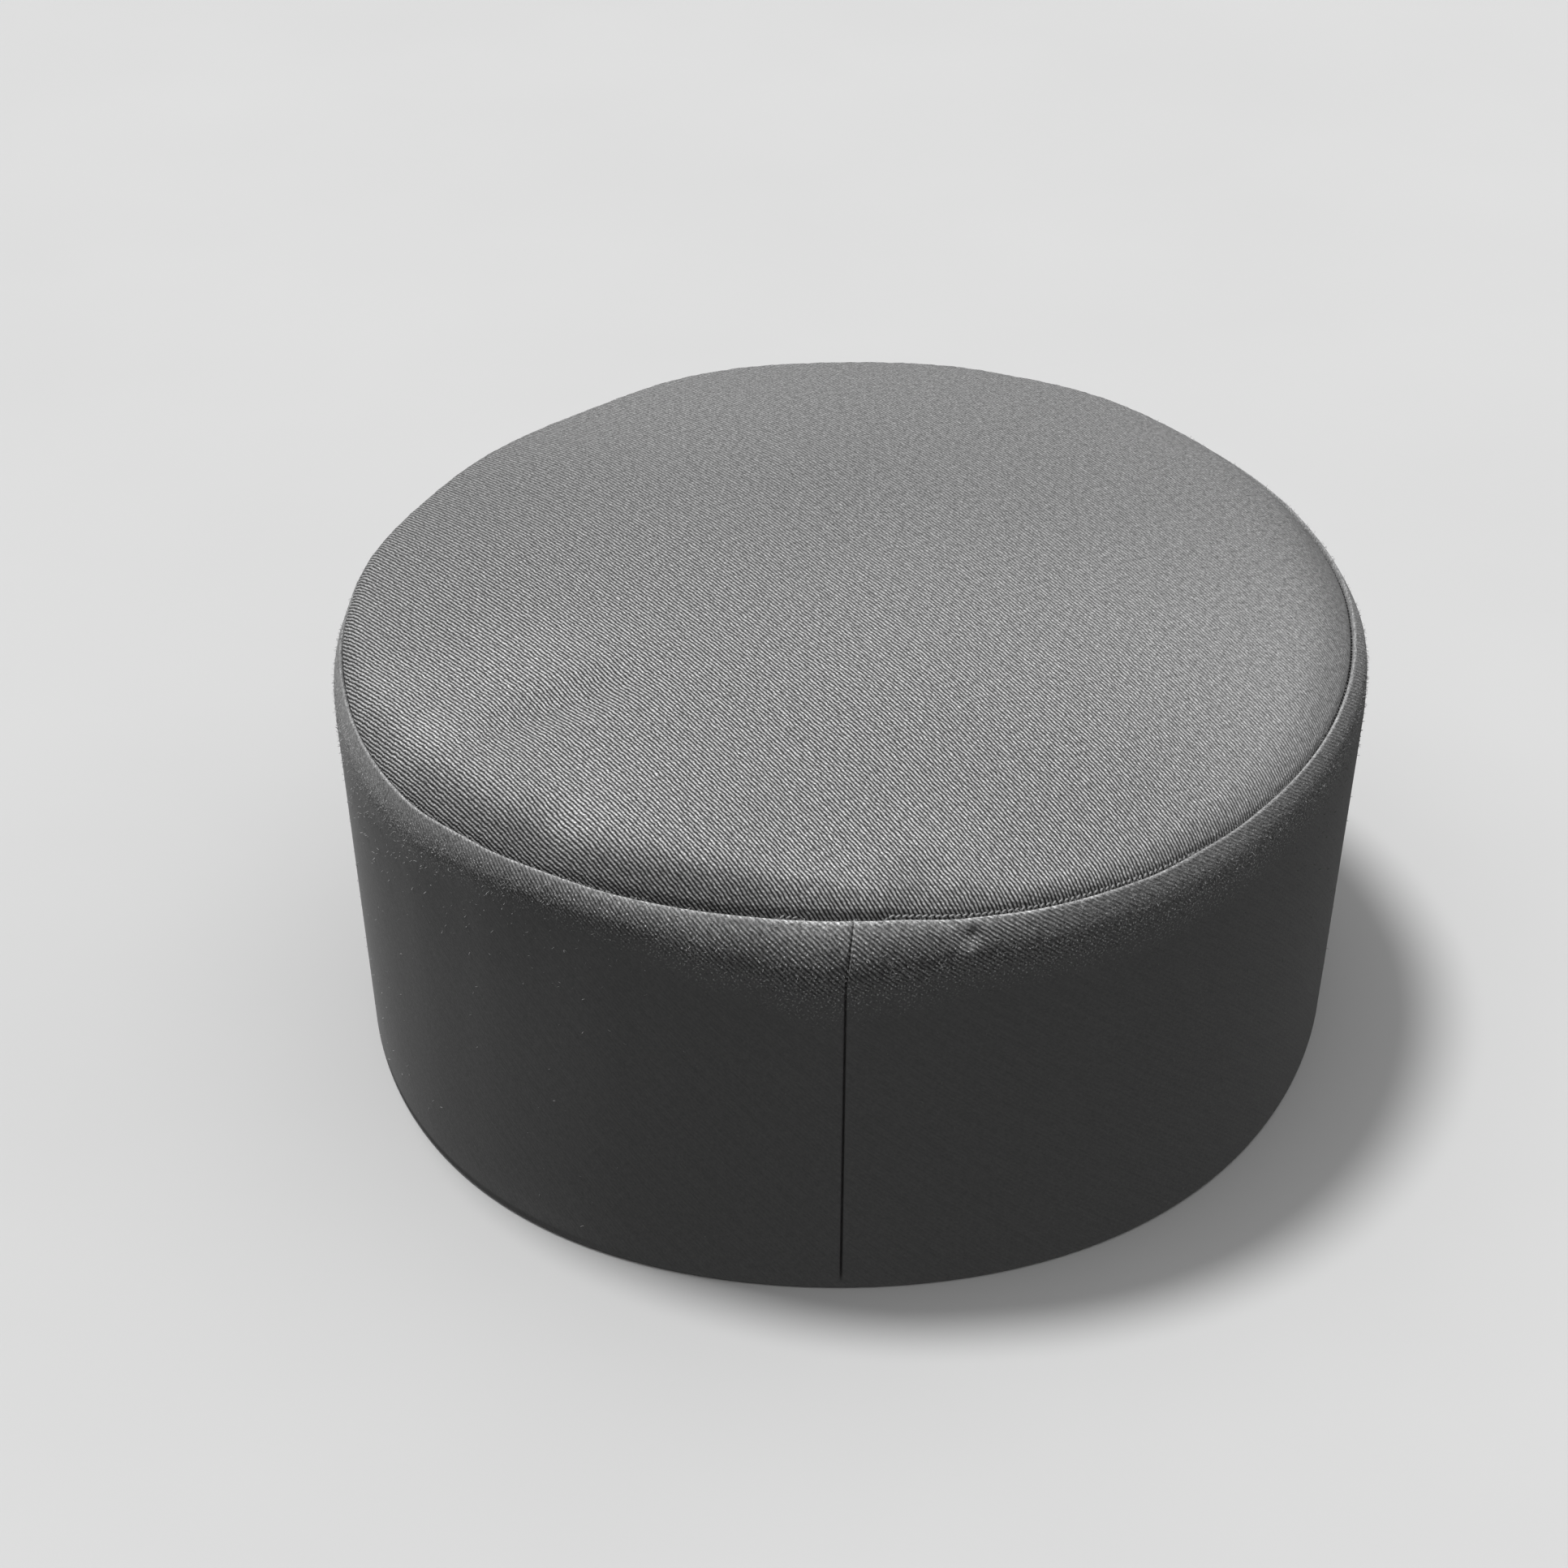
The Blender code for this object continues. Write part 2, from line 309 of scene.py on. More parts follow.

# Puckers of the shoulder right of the back seam: place along the back, height, half width and height, depth,
# and share of the cloth's tone in it, as painted shade in a hollow and painted highlight on a ridge
PUCKERS = (
    (0.0222, 0.0655, 0.0010, 0.0010, 0.00040, 0.75),
    (0.0216, 0.0629, 0.0012, 0.0016, -0.00035, 1.40),
    (0.0130, 0.0600, 0.0050, 0.0050, 0.00030, 1.0),
)

# Over the shoulder the back seam bends to the right: how far, and between which heights
BACK_SEAM_BEND = 0.0011
BACK_SEAM_BEND_FROM = 0.0585
BACK_SEAM_BEND_TO = 0.0685

# How far from the back seam the columns of points lean with it, in radians round the oval
BACK_SEAM_REACH = 0.2

# Its groove, which has only a share of its depth over the shoulder and deepens at heights below the top, and
# the shallow dip that its allowances leave at both sides
BACK_SEAM_DEPTH = 0.0011
BACK_SEAM_SHALLOW = 0.4
BACK_SEAM_DEEPENS = (0.006, 0.012)
BACK_SEAM_HALF_WIDTH = 0.00029
BACK_SEAM_DIP = 0.00010
BACK_SEAM_DIP_HALF_WIDTH = 0.003

# At the far left the crown is drawn tight against the lip: from the middle of that place, degrees over
# which it fades towards the front, how many times further it reaches towards the back, and how far it is
# pulled over, in half gaps
TIGHT_AT = math.radians(170)
TIGHT_OUT = (12, 26)
TIGHT_REACH = 3.5
TIGHT_PULL = 1.8

# The crown's slight unevenness: height, size of its hills, start of its random draw, and the power with
# which it fades towards the seam
CROWN_SWELLS = ((0.00022, 0.040, 3, 8), (0.00006, 0.013, 4, 30))

# How finely the cloth is divided. The crown's face is divided from its middle (0) to its seam (1): from, to,
# rings. A ring nearer the middle than a share has fewer points, and the underside has few rings. The band's
# wall ends at its foot, and its lip has rings at shares of its turn, the first of them down in the crease.
CROWN_COLUMNS = 960
CROWN_STEPS = ((0.02, 0.12, 5), (0.15, 0.90, 50), (0.9042, 0.988, 24), (0.9892, 1.0, 11))
CROWN_COARSER = ((0.05, 60), (0.1, 120), (0.2, 240), (0.45, 480))
UNDERSIDE_SHARES = (1.0, 0.985, 0.97, 0.95, 0.92, 0.84, 0.70, 0.60, 0.52, 0.43, 0.34, 0.26, 0.18, 0.11, 0.05)
UNDERSIDE_COARSER = ((0.2, 60), (2.0, 240))
BAND_COLUMNS = 1080
WALL_FOOT = 0.003
LIP_SHARES = (-1.0, 0.0, 0.15, 0.3, 0.45, 0.6, 0.75, 0.88, 1.0)
SHOULDER_RINGS = 30
WALL_RINGS = 28
SEAM_POINTS = 1440
NAP_COLUMNS = 360

# Behind, the stitches right of the back seam have been drawn up into sight, less and less towards the side,
# and a few left of it: between which places they begin, grow fainter by a share, and end
SHOWN_FROM = (0.0075, 0.0095)
SHOWN_FAINTER = (0.15, 0.0190, 0.0230)
SHOWN_TO = (0.050, 0.066)
SHOWN_LEFT = 0.8
SHOWN_LEFT_FROM = (-0.0090, -0.0082)
SHOWN_LEFT_TO = (-0.0052, -0.0044)

# The stitches' line: how far below the lip the sunk ones lie, how far the shown ones come up and inwards
STITCH_SUNK = 0.00085
STITCH_RAISED = 0.00105
STITCH_INWARDS = 0.00022
STITCH_SLANT = math.radians(38)

# Speckle of thread and loose fibres, and how much of its colour a stitch keeps deep in the seam under painted
# shade
THREAD_GRAIN = 0.0002
FIBRE_GRAIN = 0.0008
SUNK_PAINTED_SHADE_SHARE = 0.12

# How far the fibres lean over, and how many there are for each one on the lip: the least, how many more where
# the nap ends, and where and how wide that is
FIBRE_LEAN = 1.1
FIBRES_LEAST = 0.07
FIBRES_AT_END = 0.18
NAP_END = (0.88, 0.16)

# Lint leans over further and is drawn thicker. It starts after some rings of the shoulder and fades to its
# least over a share of the wall. At the sides there is more, in degrees from the middle of the clear ribs.
LINT_LEAN = 1.6
LINT_THICKER = 1.5
LINT_FROM = 18
LINT_LEAST = 0.2
LINT_BELOW_SHOULDER = 1.8
LINT_FADE = 0.14
LINT_AT_SIDES = 1.6
LINT_SIDES_IN = (10, 40)

# The lean of the ribs on the band, from the right end of the strip to its left end, and their turn on the
# crown, in radians
RIB_LEAN_RIGHT = math.radians(38)
RIB_LEAN_LEFT = math.radians(43.5)
CROWN_RIB_TURN = math.radians(34.5)
# The band is pulled over its stiff core, so its ribs lie a little wider than the crown's
BAND_RIB_SHARE = 1.02

# The photograph's camera: turn round the cap, height and roll in degrees, distance from the point that it
# was fitted to, focal length in pixels, and where that point falls in the frame
PHOTO_PIXELS = 1932
CAMERA_TURN = 1.9047
CAMERA_HEIGHT = 29.6164
CAMERA_ROLL = -0.5338
CAMERA_DISTANCE = 0.8505
CAMERA_POINT = (0, 0, 0.0408)
CAMERA_PIXEL = (1049.68, 917.81)
FOCAL_PIXELS = 5890.38

# Where the lights stand, how wide the rim light's panel is, and how far the floor's wash is spread
KEY_PLACE = (-0.461, 0.387, 2.031)
RIM_PLACE = (1.2, 1.0, 0.45)
RIM_PANEL = 0.9
WASH_PLACE = (0.3, 0.2, 2.0)
WASH_SPREAD = math.radians(120)
LIT_POINT = (0, 0, 0.05)

# The studio floor: radius of its flat part, radius of its curve, how far it lies under the rim, and columns
FLOOR_RADIUS = 1.8
FLOOR_CURVE = 0.8
FLOOR_DROP = 0.0001
FLOOR_COLUMNS = 96

# Kinds of nodes and their settings, by short names
MATHS, RANGE, NOISE = "ShaderNodeMath", "ShaderNodeMapRange", "ShaderNodeTexNoise"
MIX, MAPPING, KEPT = "ShaderNodeMix", "ShaderNodeMapping", "ShaderNodeAttribute"
VECTOR_MATHS, COMBINE = "ShaderNodeVectorMath", "ShaderNodeCombineXYZ"
RANDOM, NAMED = "FunctionNodeRandomValue", "GeometryNodeInputNamedAttribute"
PLUS, MINUS, TIMES, TIMES_PLUS, OVER, SINE, MOST, LEAST, SCALED = (
    {"operation": operation}
    for operation in (
        "ADD", "SUBTRACT", "MULTIPLY", "MULTIPLY_ADD", "DIVIDE", "SINE", "MAXIMUM", "MINIMUM", "SCALE"
    )
)
CLAMPED = {"clamp": True}
IN_PLANE = {"noise_dimensions": "2D"}
COLOURS = {"data_type": "RGBA"}
NUMBERS = {"data_type": "FLOAT"}
VECTORS = {"data_type": "FLOAT_VECTOR"}
LOCAL = {"rotation_space": "LOCAL"}


def linear(hex_colour):
    """An sRGB hex colour as linear red, green and blue."""
    values = [int(hex_colour[place : place + 2], 16) / 255 for place in (1, 3, 5)]
    return [v / 12.92 if v <= 0.04045 else ((v + 0.055) / 1.055) ** 2.4 for v in values]


def add_node(tree, kind, settings=None, **inputs):
    """Adds one node, sets its settings, and feeds each named or numbered input.

    An input takes a value, a socket, or a node, which then gives its first output in use.
    """
    node = tree.nodes.new(kind)
    for name, value in (settings or {}).items():
        setattr(node, name, value)
    for name, source in inputs.items():
        if name.startswith("at_"):
            socket = node.inputs[int(name[3:])]
        else:
            socket = next(s for s in node.inputs if s.name == name.replace("_", " ") and s.enabled)
        if isinstance(source, bpy.types.Node):
            source = next(s for s in source.outputs if s.enabled)
        if isinstance(source, bpy.types.NodeSocket):
            tree.links.new(source, socket)
        else:
            socket.default_value = source
    return node


def span(low, high, to_low, to_high):
    """The numbered inputs of a range that leads from low and high to two other values."""
    return {"at_1": low, "at_2": high, "at_3": to_low, "at_4": to_high}


# Sizes and colours that a user would change


def length_setting(name, description, default, precision=5):
    """A length that a user would change."""
    return FloatProperty(
        name=name, description=description, default=default, unit="LENGTH", precision=precision
    )


def colour_setting(name, description, default):
    """A colour that a user would change, from its hex value."""
    return FloatVectorProperty(name=name, description=description, subtype="COLOR", default=linear(default))


class CapSizes(bpy.types.PropertyGroup):
    """Sizes of the weave, the stitches and the fibres."""

    rib_pitch: length_setting("Rib pitch", "From one twill rib to the next", 0.00064)
    stitch_pitch: length_setting("Stitch pitch", "From one seam stitch to the next", 0.00105)
    stitch_length: length_setting("Stitch length", "Length of one seam stitch", 0.00108)
    thread_thickness: length_setting("Thread thickness", "Thickness of the sewing thread", 0.00036)
    fibre_length: length_setting("Fibre length", "Length of a loose fibre of the nap", 0.00050)
    lint_length: length_setting("Lint length", "Length of a speck of lint", 0.00040)
    fibre_thickness: length_setting(
        "Fibre thickness", "Drawn thicker than a real fibre of 0.02 mm, so that it shows", 0.000055, 6
    )
    fibre_density: FloatProperty(
        name="Fibres per square metre", description="Fibres on the folded edge", default=8.0e6, min=0.0
    )
    lint_density: FloatProperty(
        name="Lint per square metre", description="Specks of lint on the band", default=1.3e5, min=0.0
    )
    seed: IntProperty(name="Seed", description="Start of everything that is drawn at random", default=11)


class CapColours(bpy.types.PropertyGroup):
    """Colours of the cloth, the thread and the fibres."""

    rib: colour_setting("Ribs", "Crest of a twill rib", "#C2C2C2")
    # The valleys' dark colour is partly dye and partly painted shade between the ribs
    valley: colour_setting("Valleys", "Between two ribs", "#202020")
    pressed: colour_setting("Pressed cloth", "Mean of the twill where it is pressed flat", "#8A8A8A")
    thread: colour_setting("Thread", "Sewing thread", "#9A9A9A")
    fibre: colour_setting("Fibres", "Loose fibres and lint", "#B0B0B0")


class CapStage(bpy.types.PropertyGroup):
    """The floor and the lights."""

    floor: colour_setting("Floor", "Studio paper", "#9A9A9A")
    key: FloatProperty(name="Key light", description="Strength of the high light", default=4.25, min=0.0)
    key_spread: FloatProperty(
        name="Key spread", description="How soft the key light is", default=math.radians(13), subtype="ANGLE"
    )
    wash: FloatProperty(name="Floor wash", description="Soft light on the paper alone", default=2.7, min=0.0)
    surround: FloatProperty(name="Surround", description="Dim light from all round", default=0.118, min=0.0)
    rim: FloatProperty(name="Rim light", description="Power at the far right, in watts", default=0.9, min=0.0)


# Shape of the cloth


def row_values(rows, degrees):
    """Every column of a table of angles at some angles, with smooth steps from row to row."""
    rows = np.array(rows, float)
    turned = np.where(degrees < rows[0, 0], degrees + 360, degrees)
    place = np.clip(np.searchsorted(rows[:, 0], turned, side="right") - 1, 0, len(rows) - 2)
    share = np.clip((turned - rows[place, 0]) / (rows[place + 1, 0] - rows[place, 0]), 0, 1)
    share = (share * share * (3 - 2 * share))[:, None]
    return (rows[place, 1:] * (1 - share) + rows[place + 1, 1:] * share).T


def oval(angles):
    """Points of the seam oval at angles from +X: an ellipse fuller behind and narrower in front."""
    across = np.cos(angles)
    along = np.sin(angles)
    x = SEAM_HALF_WIDTH * across * (1 - FRONT_NARROWING * along) * (1 - FULLER_BACK * along**3)
    y = SEAM_HALF_LENGTH * along * (1 - FULLER_BACK * along * across**2)
    return x, y


def oval_outward(angles):
    """Directions that point straight out of the oval."""
    step = 1e-4
    x_before, y_before = oval(angles - step)
    x_after, y_after = oval(angles + step)
    length = np.hypot(x_after - x_before, y_after - y_before)
    return (y_after - y_before) / length, (x_before - x_after) / length


def wrapped_degrees(angles):
    """Angles in degrees from -180 to 180."""
    return (np.degrees(angles) + 180) % 360 - 180


def oval_ease(angles):
    """How far the real seam lies outside the smooth oval."""
    return row_values(OVAL_EASE, wrapped_degrees(angles))[0]


def arc_lengths(angles):
    """Length along the oval from the first angle to each one."""
    x, y = oval(angles)
    return np.concatenate(([0.0], np.cumsum(np.hypot(np.diff(x), np.diff(y)))))


def soft(distance):
    """A smooth bump: 1 in the middle, 0 from a distance of 1 outwards."""
    return np.where(distance < 1, np.cos(0.5 * np.pi * np.minimum(distance, 1)) ** 2, 0.0)


def ramp(value, start, end):
    """0 before start, 1 after end, smooth between."""
    share = np.clip((value - start) / (end - start), 0.0, 1.0)
    return share * share * (3 - 2 * share)


def undulation(x, y, size, seed):
    """A soft unevenness between about -1 and 1, with hills of that size."""
    draw = np.random.default_rng(seed)
    total = np.zeros_like(x)
    for _ in range(7):
        heading = draw.uniform(0, 2 * np.pi)
        pitch = size * draw.uniform(0.7, 1.6)
        phase = draw.uniform(0, 2 * np.pi)
        total = total + np.sin(2 * np.pi * (x * np.cos(heading) + y * np.sin(heading)) / pitch + phase)
    return total / 4


def link_object(name, mesh):
    """A new object of that mesh in the scene."""
    made = bpy.data.objects.new(name, mesh)
    bpy.context.scene.collection.objects.link(made)
    return made


def ring_faces(upper, upper_count, lower, lower_count):
    """Faces between two rings: quads, or a fan for each point of the coarser ring."""
    faces = []
    if upper_count >= lower_count:
        share = upper_count // lower_count
        for i in range(lower_count):
            fine = [upper + (i * share + k) % upper_count for k in range(share + 1)]
            faces.append((lower + i, lower + (i + 1) % lower_count, *reversed(fine)))
        return faces
    share = lower_count // upper_count
    for i in range(upper_count):
        fine = [lower + (i * share + k) % lower_count for k in range(share + 1)]
        faces.append((*fine, upper + (i + 1) % upper_count, upper + i))
    return faces


def ringed_mesh(name, rings, first_middle=None, last_middle=None, loop=False):
    """A mesh of rings of points, each joined to the next.

    A ring may hold a whole factor fewer or more points than the one before. A middle closes its end with
    one point, and loop joins the last ring to the first.
    """
    starts = list(np.cumsum([0] + [len(ring) for ring in rings]))
    total = int(starts.pop())
    pairs = list(zip(range(len(rings) - 1), range(1, len(rings))))
    if loop:
        pairs.append((len(rings) - 1, 0))
    faces = []
    for upper, lower in pairs:
        faces += ring_faces(int(starts[upper]), len(rings[upper]), int(starts[lower]), len(rings[lower]))
    places = list(rings)
    for middle, ring in ((first_middle, 0), (last_middle, len(rings) - 1)):
        if middle is not None:
            places.append(np.array([middle]))
            count = len(rings[ring])
            around = [int(starts[ring]) + i for i in range(count)]
            for here, following in zip(around, around[1:] + around[:1]):
                faces.append((total, here, following))
            total += 1
    mesh = bpy.data.meshes.new(name)
    mesh.from_pydata(np.concatenate(places).tolist(), [], faces)
    made = link_object(name, mesh)
    turned = bmesh.new()
    turned.from_mesh(mesh)
    bmesh.ops.recalc_face_normals(turned, faces=turned.faces)
    turned.to_mesh(mesh)
    turned.free()
    mesh.shade_smooth()
    return made


def points_of(made):
    """The places of all points of a mesh."""
    places = np.zeros(len(made.data.vertices) * 3)
    made.data.vertices.foreach_get("co", places)
    return places.reshape(-1, 3)


def keep_values(made, name, values):
    """Keeps one number for each point of the mesh as an attribute that materials and nodes read."""
    attribute = made.data.attributes.new(name, "FLOAT", "POINT")
    attribute.data.foreach_set("value", np.asarray(values, np.float32))


# Crown panel


def furrow_depth(x, y):
    """How far the slack furrow lowers the panel: a soft trough along its valley."""
    rows = np.array(FURROW)
    steps = np.linspace(0, len(rows) - 1, FURROW_STEPS)
    valley = np.stack([np.interp(steps, range(len(rows)), rows[:, column]) for column in range(4)], -1)
    lowered, weight = np.zeros_like(x), np.full_like(x, 1e-9)
    nearest = np.full_like(x, 1e9)
    for place_x, place_y, half_width, depth in valley:
        distance = np.hypot(x - place_x, y - place_y)
        away = distance / (2 * half_width)
        close = np.exp(-((distance / FURROW_BLEND) ** 2))
        lowered, weight = lowered + close * depth * soft(away), weight + close
        nearest = np.minimum(nearest, away)
    return np.where(nearest < 1, lowered / weight, 0.0)


def plain_height(share, angles):
    """Height of the crown's outer face without slack, at a share of the way from middle to seam."""
    rise, width, fullness, dip, turned = row_values(EDGE_ROLL, wrapped_degrees(angles))
    to_edge = (1 - share) * np.hypot(*oval(angles))
    sunk = (rise + dip - turned) * np.clip(1 - to_edge / width, 0, 1) ** ROLL_POWER
    sunk = sunk + turned * np.clip(1 - to_edge / TURNED_WIDTH, 0, 1) ** TURNED_POWER
    return SEAM_HEIGHT + rise - sunk + (DOME_RISE - rise) * (1 - share**fullness)


def crown_height(share, angles, x, y):
    """Height of the crown's outer face with its furrow and its slight unevenness."""
    z = plain_height(share, angles) - furrow_depth(x, y) * (1 - share**8)
    for dent_x, dent_y, half_width, depth in DENTS:
        z = z - depth * soft(np.hypot(x - dent_x, y - dent_y) / (2 * half_width))
    for height, size, seed, power in CROWN_SWELLS:
        z = z + height * undulation(x, y, size, seed) * (1 - share**power)
    return z


def seam_gathers(angles):
    """Small gathers where the crown is drawn in by the stitches."""
    length = arc_lengths(angles)
    draw = np.random.default_rng(5)
    total = np.zeros_like(angles)
    for pitch in GATHER_PITCHES:
        total = total + np.sin(2 * np.pi * length / pitch + draw.uniform(0, 6.28))
    return total / len(GATHER_PITCHES)


def crown_ring(share, count, lowered, plain=False):
    """One ring of the crown, lowered by a thickness, or of its plain shape without slack."""
    angles = -math.pi + 2 * math.pi * np.arange(count) / count
    x, y = oval(angles)
    out_x, out_y = oval_outward(angles)
    # Where the crown isn't drawn tight against the lip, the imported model's gap shows as the crease
    away = wrapped_degrees(angles + TIGHT_AT)
    tight = 1 - ramp(np.where(away < 0, -away / TIGHT_REACH, away), *TIGHT_OUT)
    outward = oval_ease(angles) + seam_shift(angles) - SEAM_GAP / 2 * (1 - TIGHT_PULL * tight)
    x, y = (x + out_x * outward) * share, (y + out_y * outward) * share
    if plain:
        return np.stack([x, y, plain_height(np.full(count, share), angles)], -1)
    z = crown_height(np.full(count, share), angles, x, y) - lowered
    if not lowered:
        z = z + GATHER_HEIGHT * ramp(share, *GATHER_FROM) * seam_gathers(angles)
    return np.stack([x, y, z], -1)


def crown_painted_shading(places, shares):
    """Painted shading of the crown: painted shade to the front, along its edge and in the furrow, and patches
    of painted highlight and painted shade.
    """
    x, y = places[:, 0], places[:, 1]
    angles = np.arctan2(y / SEAM_HALF_LENGTH, x / SEAM_HALF_WIDTH)
    shade, width = row_values(EDGE_PAINTED_SHADE, wrapped_degrees(angles))
    to_edge = (1 - shares) * np.hypot(*oval(angles))
    tone = 1 - FORWARD_PAINTED_SHADE * ramp(y, *FORWARD_PAINTED_SHADE_BETWEEN)
    tone = tone * (1 - shade * (1 - ramp(to_edge / width, 0.25, 1.0)))
    tone = tone * (1 - FURROW_PAINTED_SHADE * furrow_depth(x, y))
    for patch_x, patch_y, half_width, change in PAINTED_LIGHT_PATCHES:
        tone = tone + change * soft(np.hypot(x - patch_x, y - patch_y) / (2 * half_width))
    return tone


def lengths_from(middle, rings):
    """Length over the cloth from its middle to every point of every ring."""
    lengths = [np.linalg.norm(rings[0] - middle, axis=1)]
    for before, ring in zip(rings, rings[1:]):
        place = np.arange(len(ring)) * len(before) / len(ring)
        low = place.astype(int)
        part = place - low
        high = (low + 1) % len(before)
        start = before[low] * (1 - part)[:, None] + before[high] * part[:, None]
        covered = lengths[-1][low] * (1 - part) + lengths[-1][high] * part
        lengths.append(covered + np.linalg.norm(ring - start, axis=1))
    return lengths


def make_crown():
    """The domed crown panel as a closed shell of doubled twill."""
    steps = [(share, 0.0, CROWN_COARSER) for step in CROWN_STEPS for share in np.linspace(*step)]
    steps += [(share, TOP_THICKNESS, UNDERSIDE_COARSER) for share in UNDERSIDE_SHARES]
    rings, plain_rings, ring_shares = [], [], []
    for share, lowered, coarser in steps:
        count = next((fewer for limit, fewer in coarser if share < limit), CROWN_COLUMNS)
        rings.append(crown_ring(share, count, lowered))
        plain_rings.append(rings[-1] if lowered else crown_ring(share, count, 0.0, plain=True))
        ring_shares.append(np.full(count, share))
    nothing = np.zeros(1)
    middle = np.array([0.0, 0.0, crown_height(nothing, nothing, nothing, nothing)[0]])
    made = ringed_mesh("crown_cloth", rings, middle, middle - np.array([0, 0, TOP_THICKNESS]))
    places = points_of(made)
    # The flat panel is laid over the dome: each point keeps its direction and its length over the cloth
    laid = np.concatenate(lengths_from(middle, plain_rings) + [np.zeros(2)])
    flat = np.maximum(np.hypot(places[:, 0], places[:, 1]), 1e-9)
    x, y = places[:, 0] * laid / flat, places[:, 1] * laid / flat
    across = x * math.cos(CROWN_RIB_TURN) + y * math.sin(CROWN_RIB_TURN)
    along = y * math.cos(CROWN_RIB_TURN) - x * math.sin(CROWN_RIB_TURN)
    corners = np.zeros(len(made.data.loops), np.int32)
    made.data.loops.foreach_get("vertex_index", corners)
    cloth = made.data.uv_layers.new(name="Cloth")
    cloth.data.foreach_set("uv", np.stack([across, along], -1)[corners].astype(np.float32).ravel())
    keep_values(made, "pressed", np.full(len(places), -1.0))
    # The ribs stand out most at the back, and are rubbed smoother towards the front and the right
    forward = places[:, 1] + 0.45 * places[:, 0]
    worn = RUBBED_ON_CROWN
    for place, (share, start, end) in ((forward, RUBBED_FORWARD), (places[:, 0], RUBBED_AT_RIGHT)):
        worn = worn + share * ramp(place, start, end)
    keep_values(made, "worn", worn)
    # Painted shade and painted highlight of the crown, kept as its tone
    keep_values(made, "tone", crown_painted_shading(places, np.concatenate(ring_shares + [np.zeros(2)])))
    return made


# Side band


def band_place(angles, outward, z):
    """Points that far outside the oval, where the wall follows the rim's own oval."""
    x, y = oval(angles)
    out_x, out_y = oval_outward(angles)
    z = np.broadcast_to(z, angles.shape)
    lowered = np.maximum(0.0, 1 - z / (SEAM_HEIGHT - SHOULDER_DROP))
    outward = outward + oval_ease(angles) * (1 - lowered)
    x = (x + out_x * outward) * (1 - (1 - RIM_WIDTH_SCALE) * lowered) - RIM_SHIFT_LEFT * lowered
    y = (y + out_y * outward) * (1 - (1 - RIM_LENGTH_SCALE) * lowered)
    return np.stack([x, y, z], -1)


def shoulder_run(angles, share):
    """How far out and down the shoulder has come, that share of its length from its lip."""
    length, start_slope = row_values(SHOULDER, wrapped_degrees(angles))[:2]
    out, down = np.zeros_like(angles), np.zeros_like(angles)
    steps = 60
    for step in range(steps):
        part = share * (step + 0.5) / steps
        folded = min(1.0, part / SHOULDER_FOLD)
        slope = np.radians(start_slope * folded + (90 - start_slope) * part**SHOULDER_TURN)
        out = out + np.cos(slope) * length * share / steps
        down = down + np.sin(slope) * length * share / steps
    return out, down


def wall_outward(angles):
    """How far outside the oval the wall stands."""
    return SHOULDER_WIDTH + row_values(SHOULDER, wrapped_degrees(angles))[3]


def seam_shift(angles):
    """How far the seam lies outside its oval, so that the shoulder ends at the wall."""
    return wall_outward(angles) - (SEAM_GAP / 2 + LIP_WIDTH) - shoulder_run(angles, 1.0)[0]


def seam_bend(z):
    """How far right of its straight line the back seam lies at a height."""
    risen = (z - BACK_SEAM_BEND_FROM) / (BACK_SEAM_BEND_TO - BACK_SEAM_BEND_FROM)
    return BACK_SEAM_BEND * np.clip(risen, 0, 1)


def band_press(places):
    """How far the outer cloth is pressed in: the back seam's groove and the puckers."""
    x, y, z = places.T
    seam_x = BACK_SEAM_RIM_X + (BACK_SEAM_TOP_X - BACK_SEAM_RIM_X) * z / SEAM_HEIGHT + seam_bend(z)
    aside = np.abs(x - seam_x)
    # The groove is shallow over the shoulder, where the seam allowances fill it
    deeper = ramp(SEAM_HEIGHT - z, *BACK_SEAM_DEEPENS)
    depth = BACK_SEAM_DEPTH * (BACK_SEAM_SHALLOW + (1 - BACK_SEAM_SHALLOW) * deeper)
    pressed = depth * soft(aside / BACK_SEAM_HALF_WIDTH)
    pressed = pressed + BACK_SEAM_DIP * soft(aside / BACK_SEAM_DIP_HALF_WIDTH)
    for pucker_x, pucker_z, half_width, half_height, depth, _ in PUCKERS:
        away = np.hypot((x - pucker_x) / (2 * half_width), (z - pucker_z) / (2 * half_height))
        pressed = pressed + depth * soft(away)
    return np.where(y < 0, pressed, 0.0)


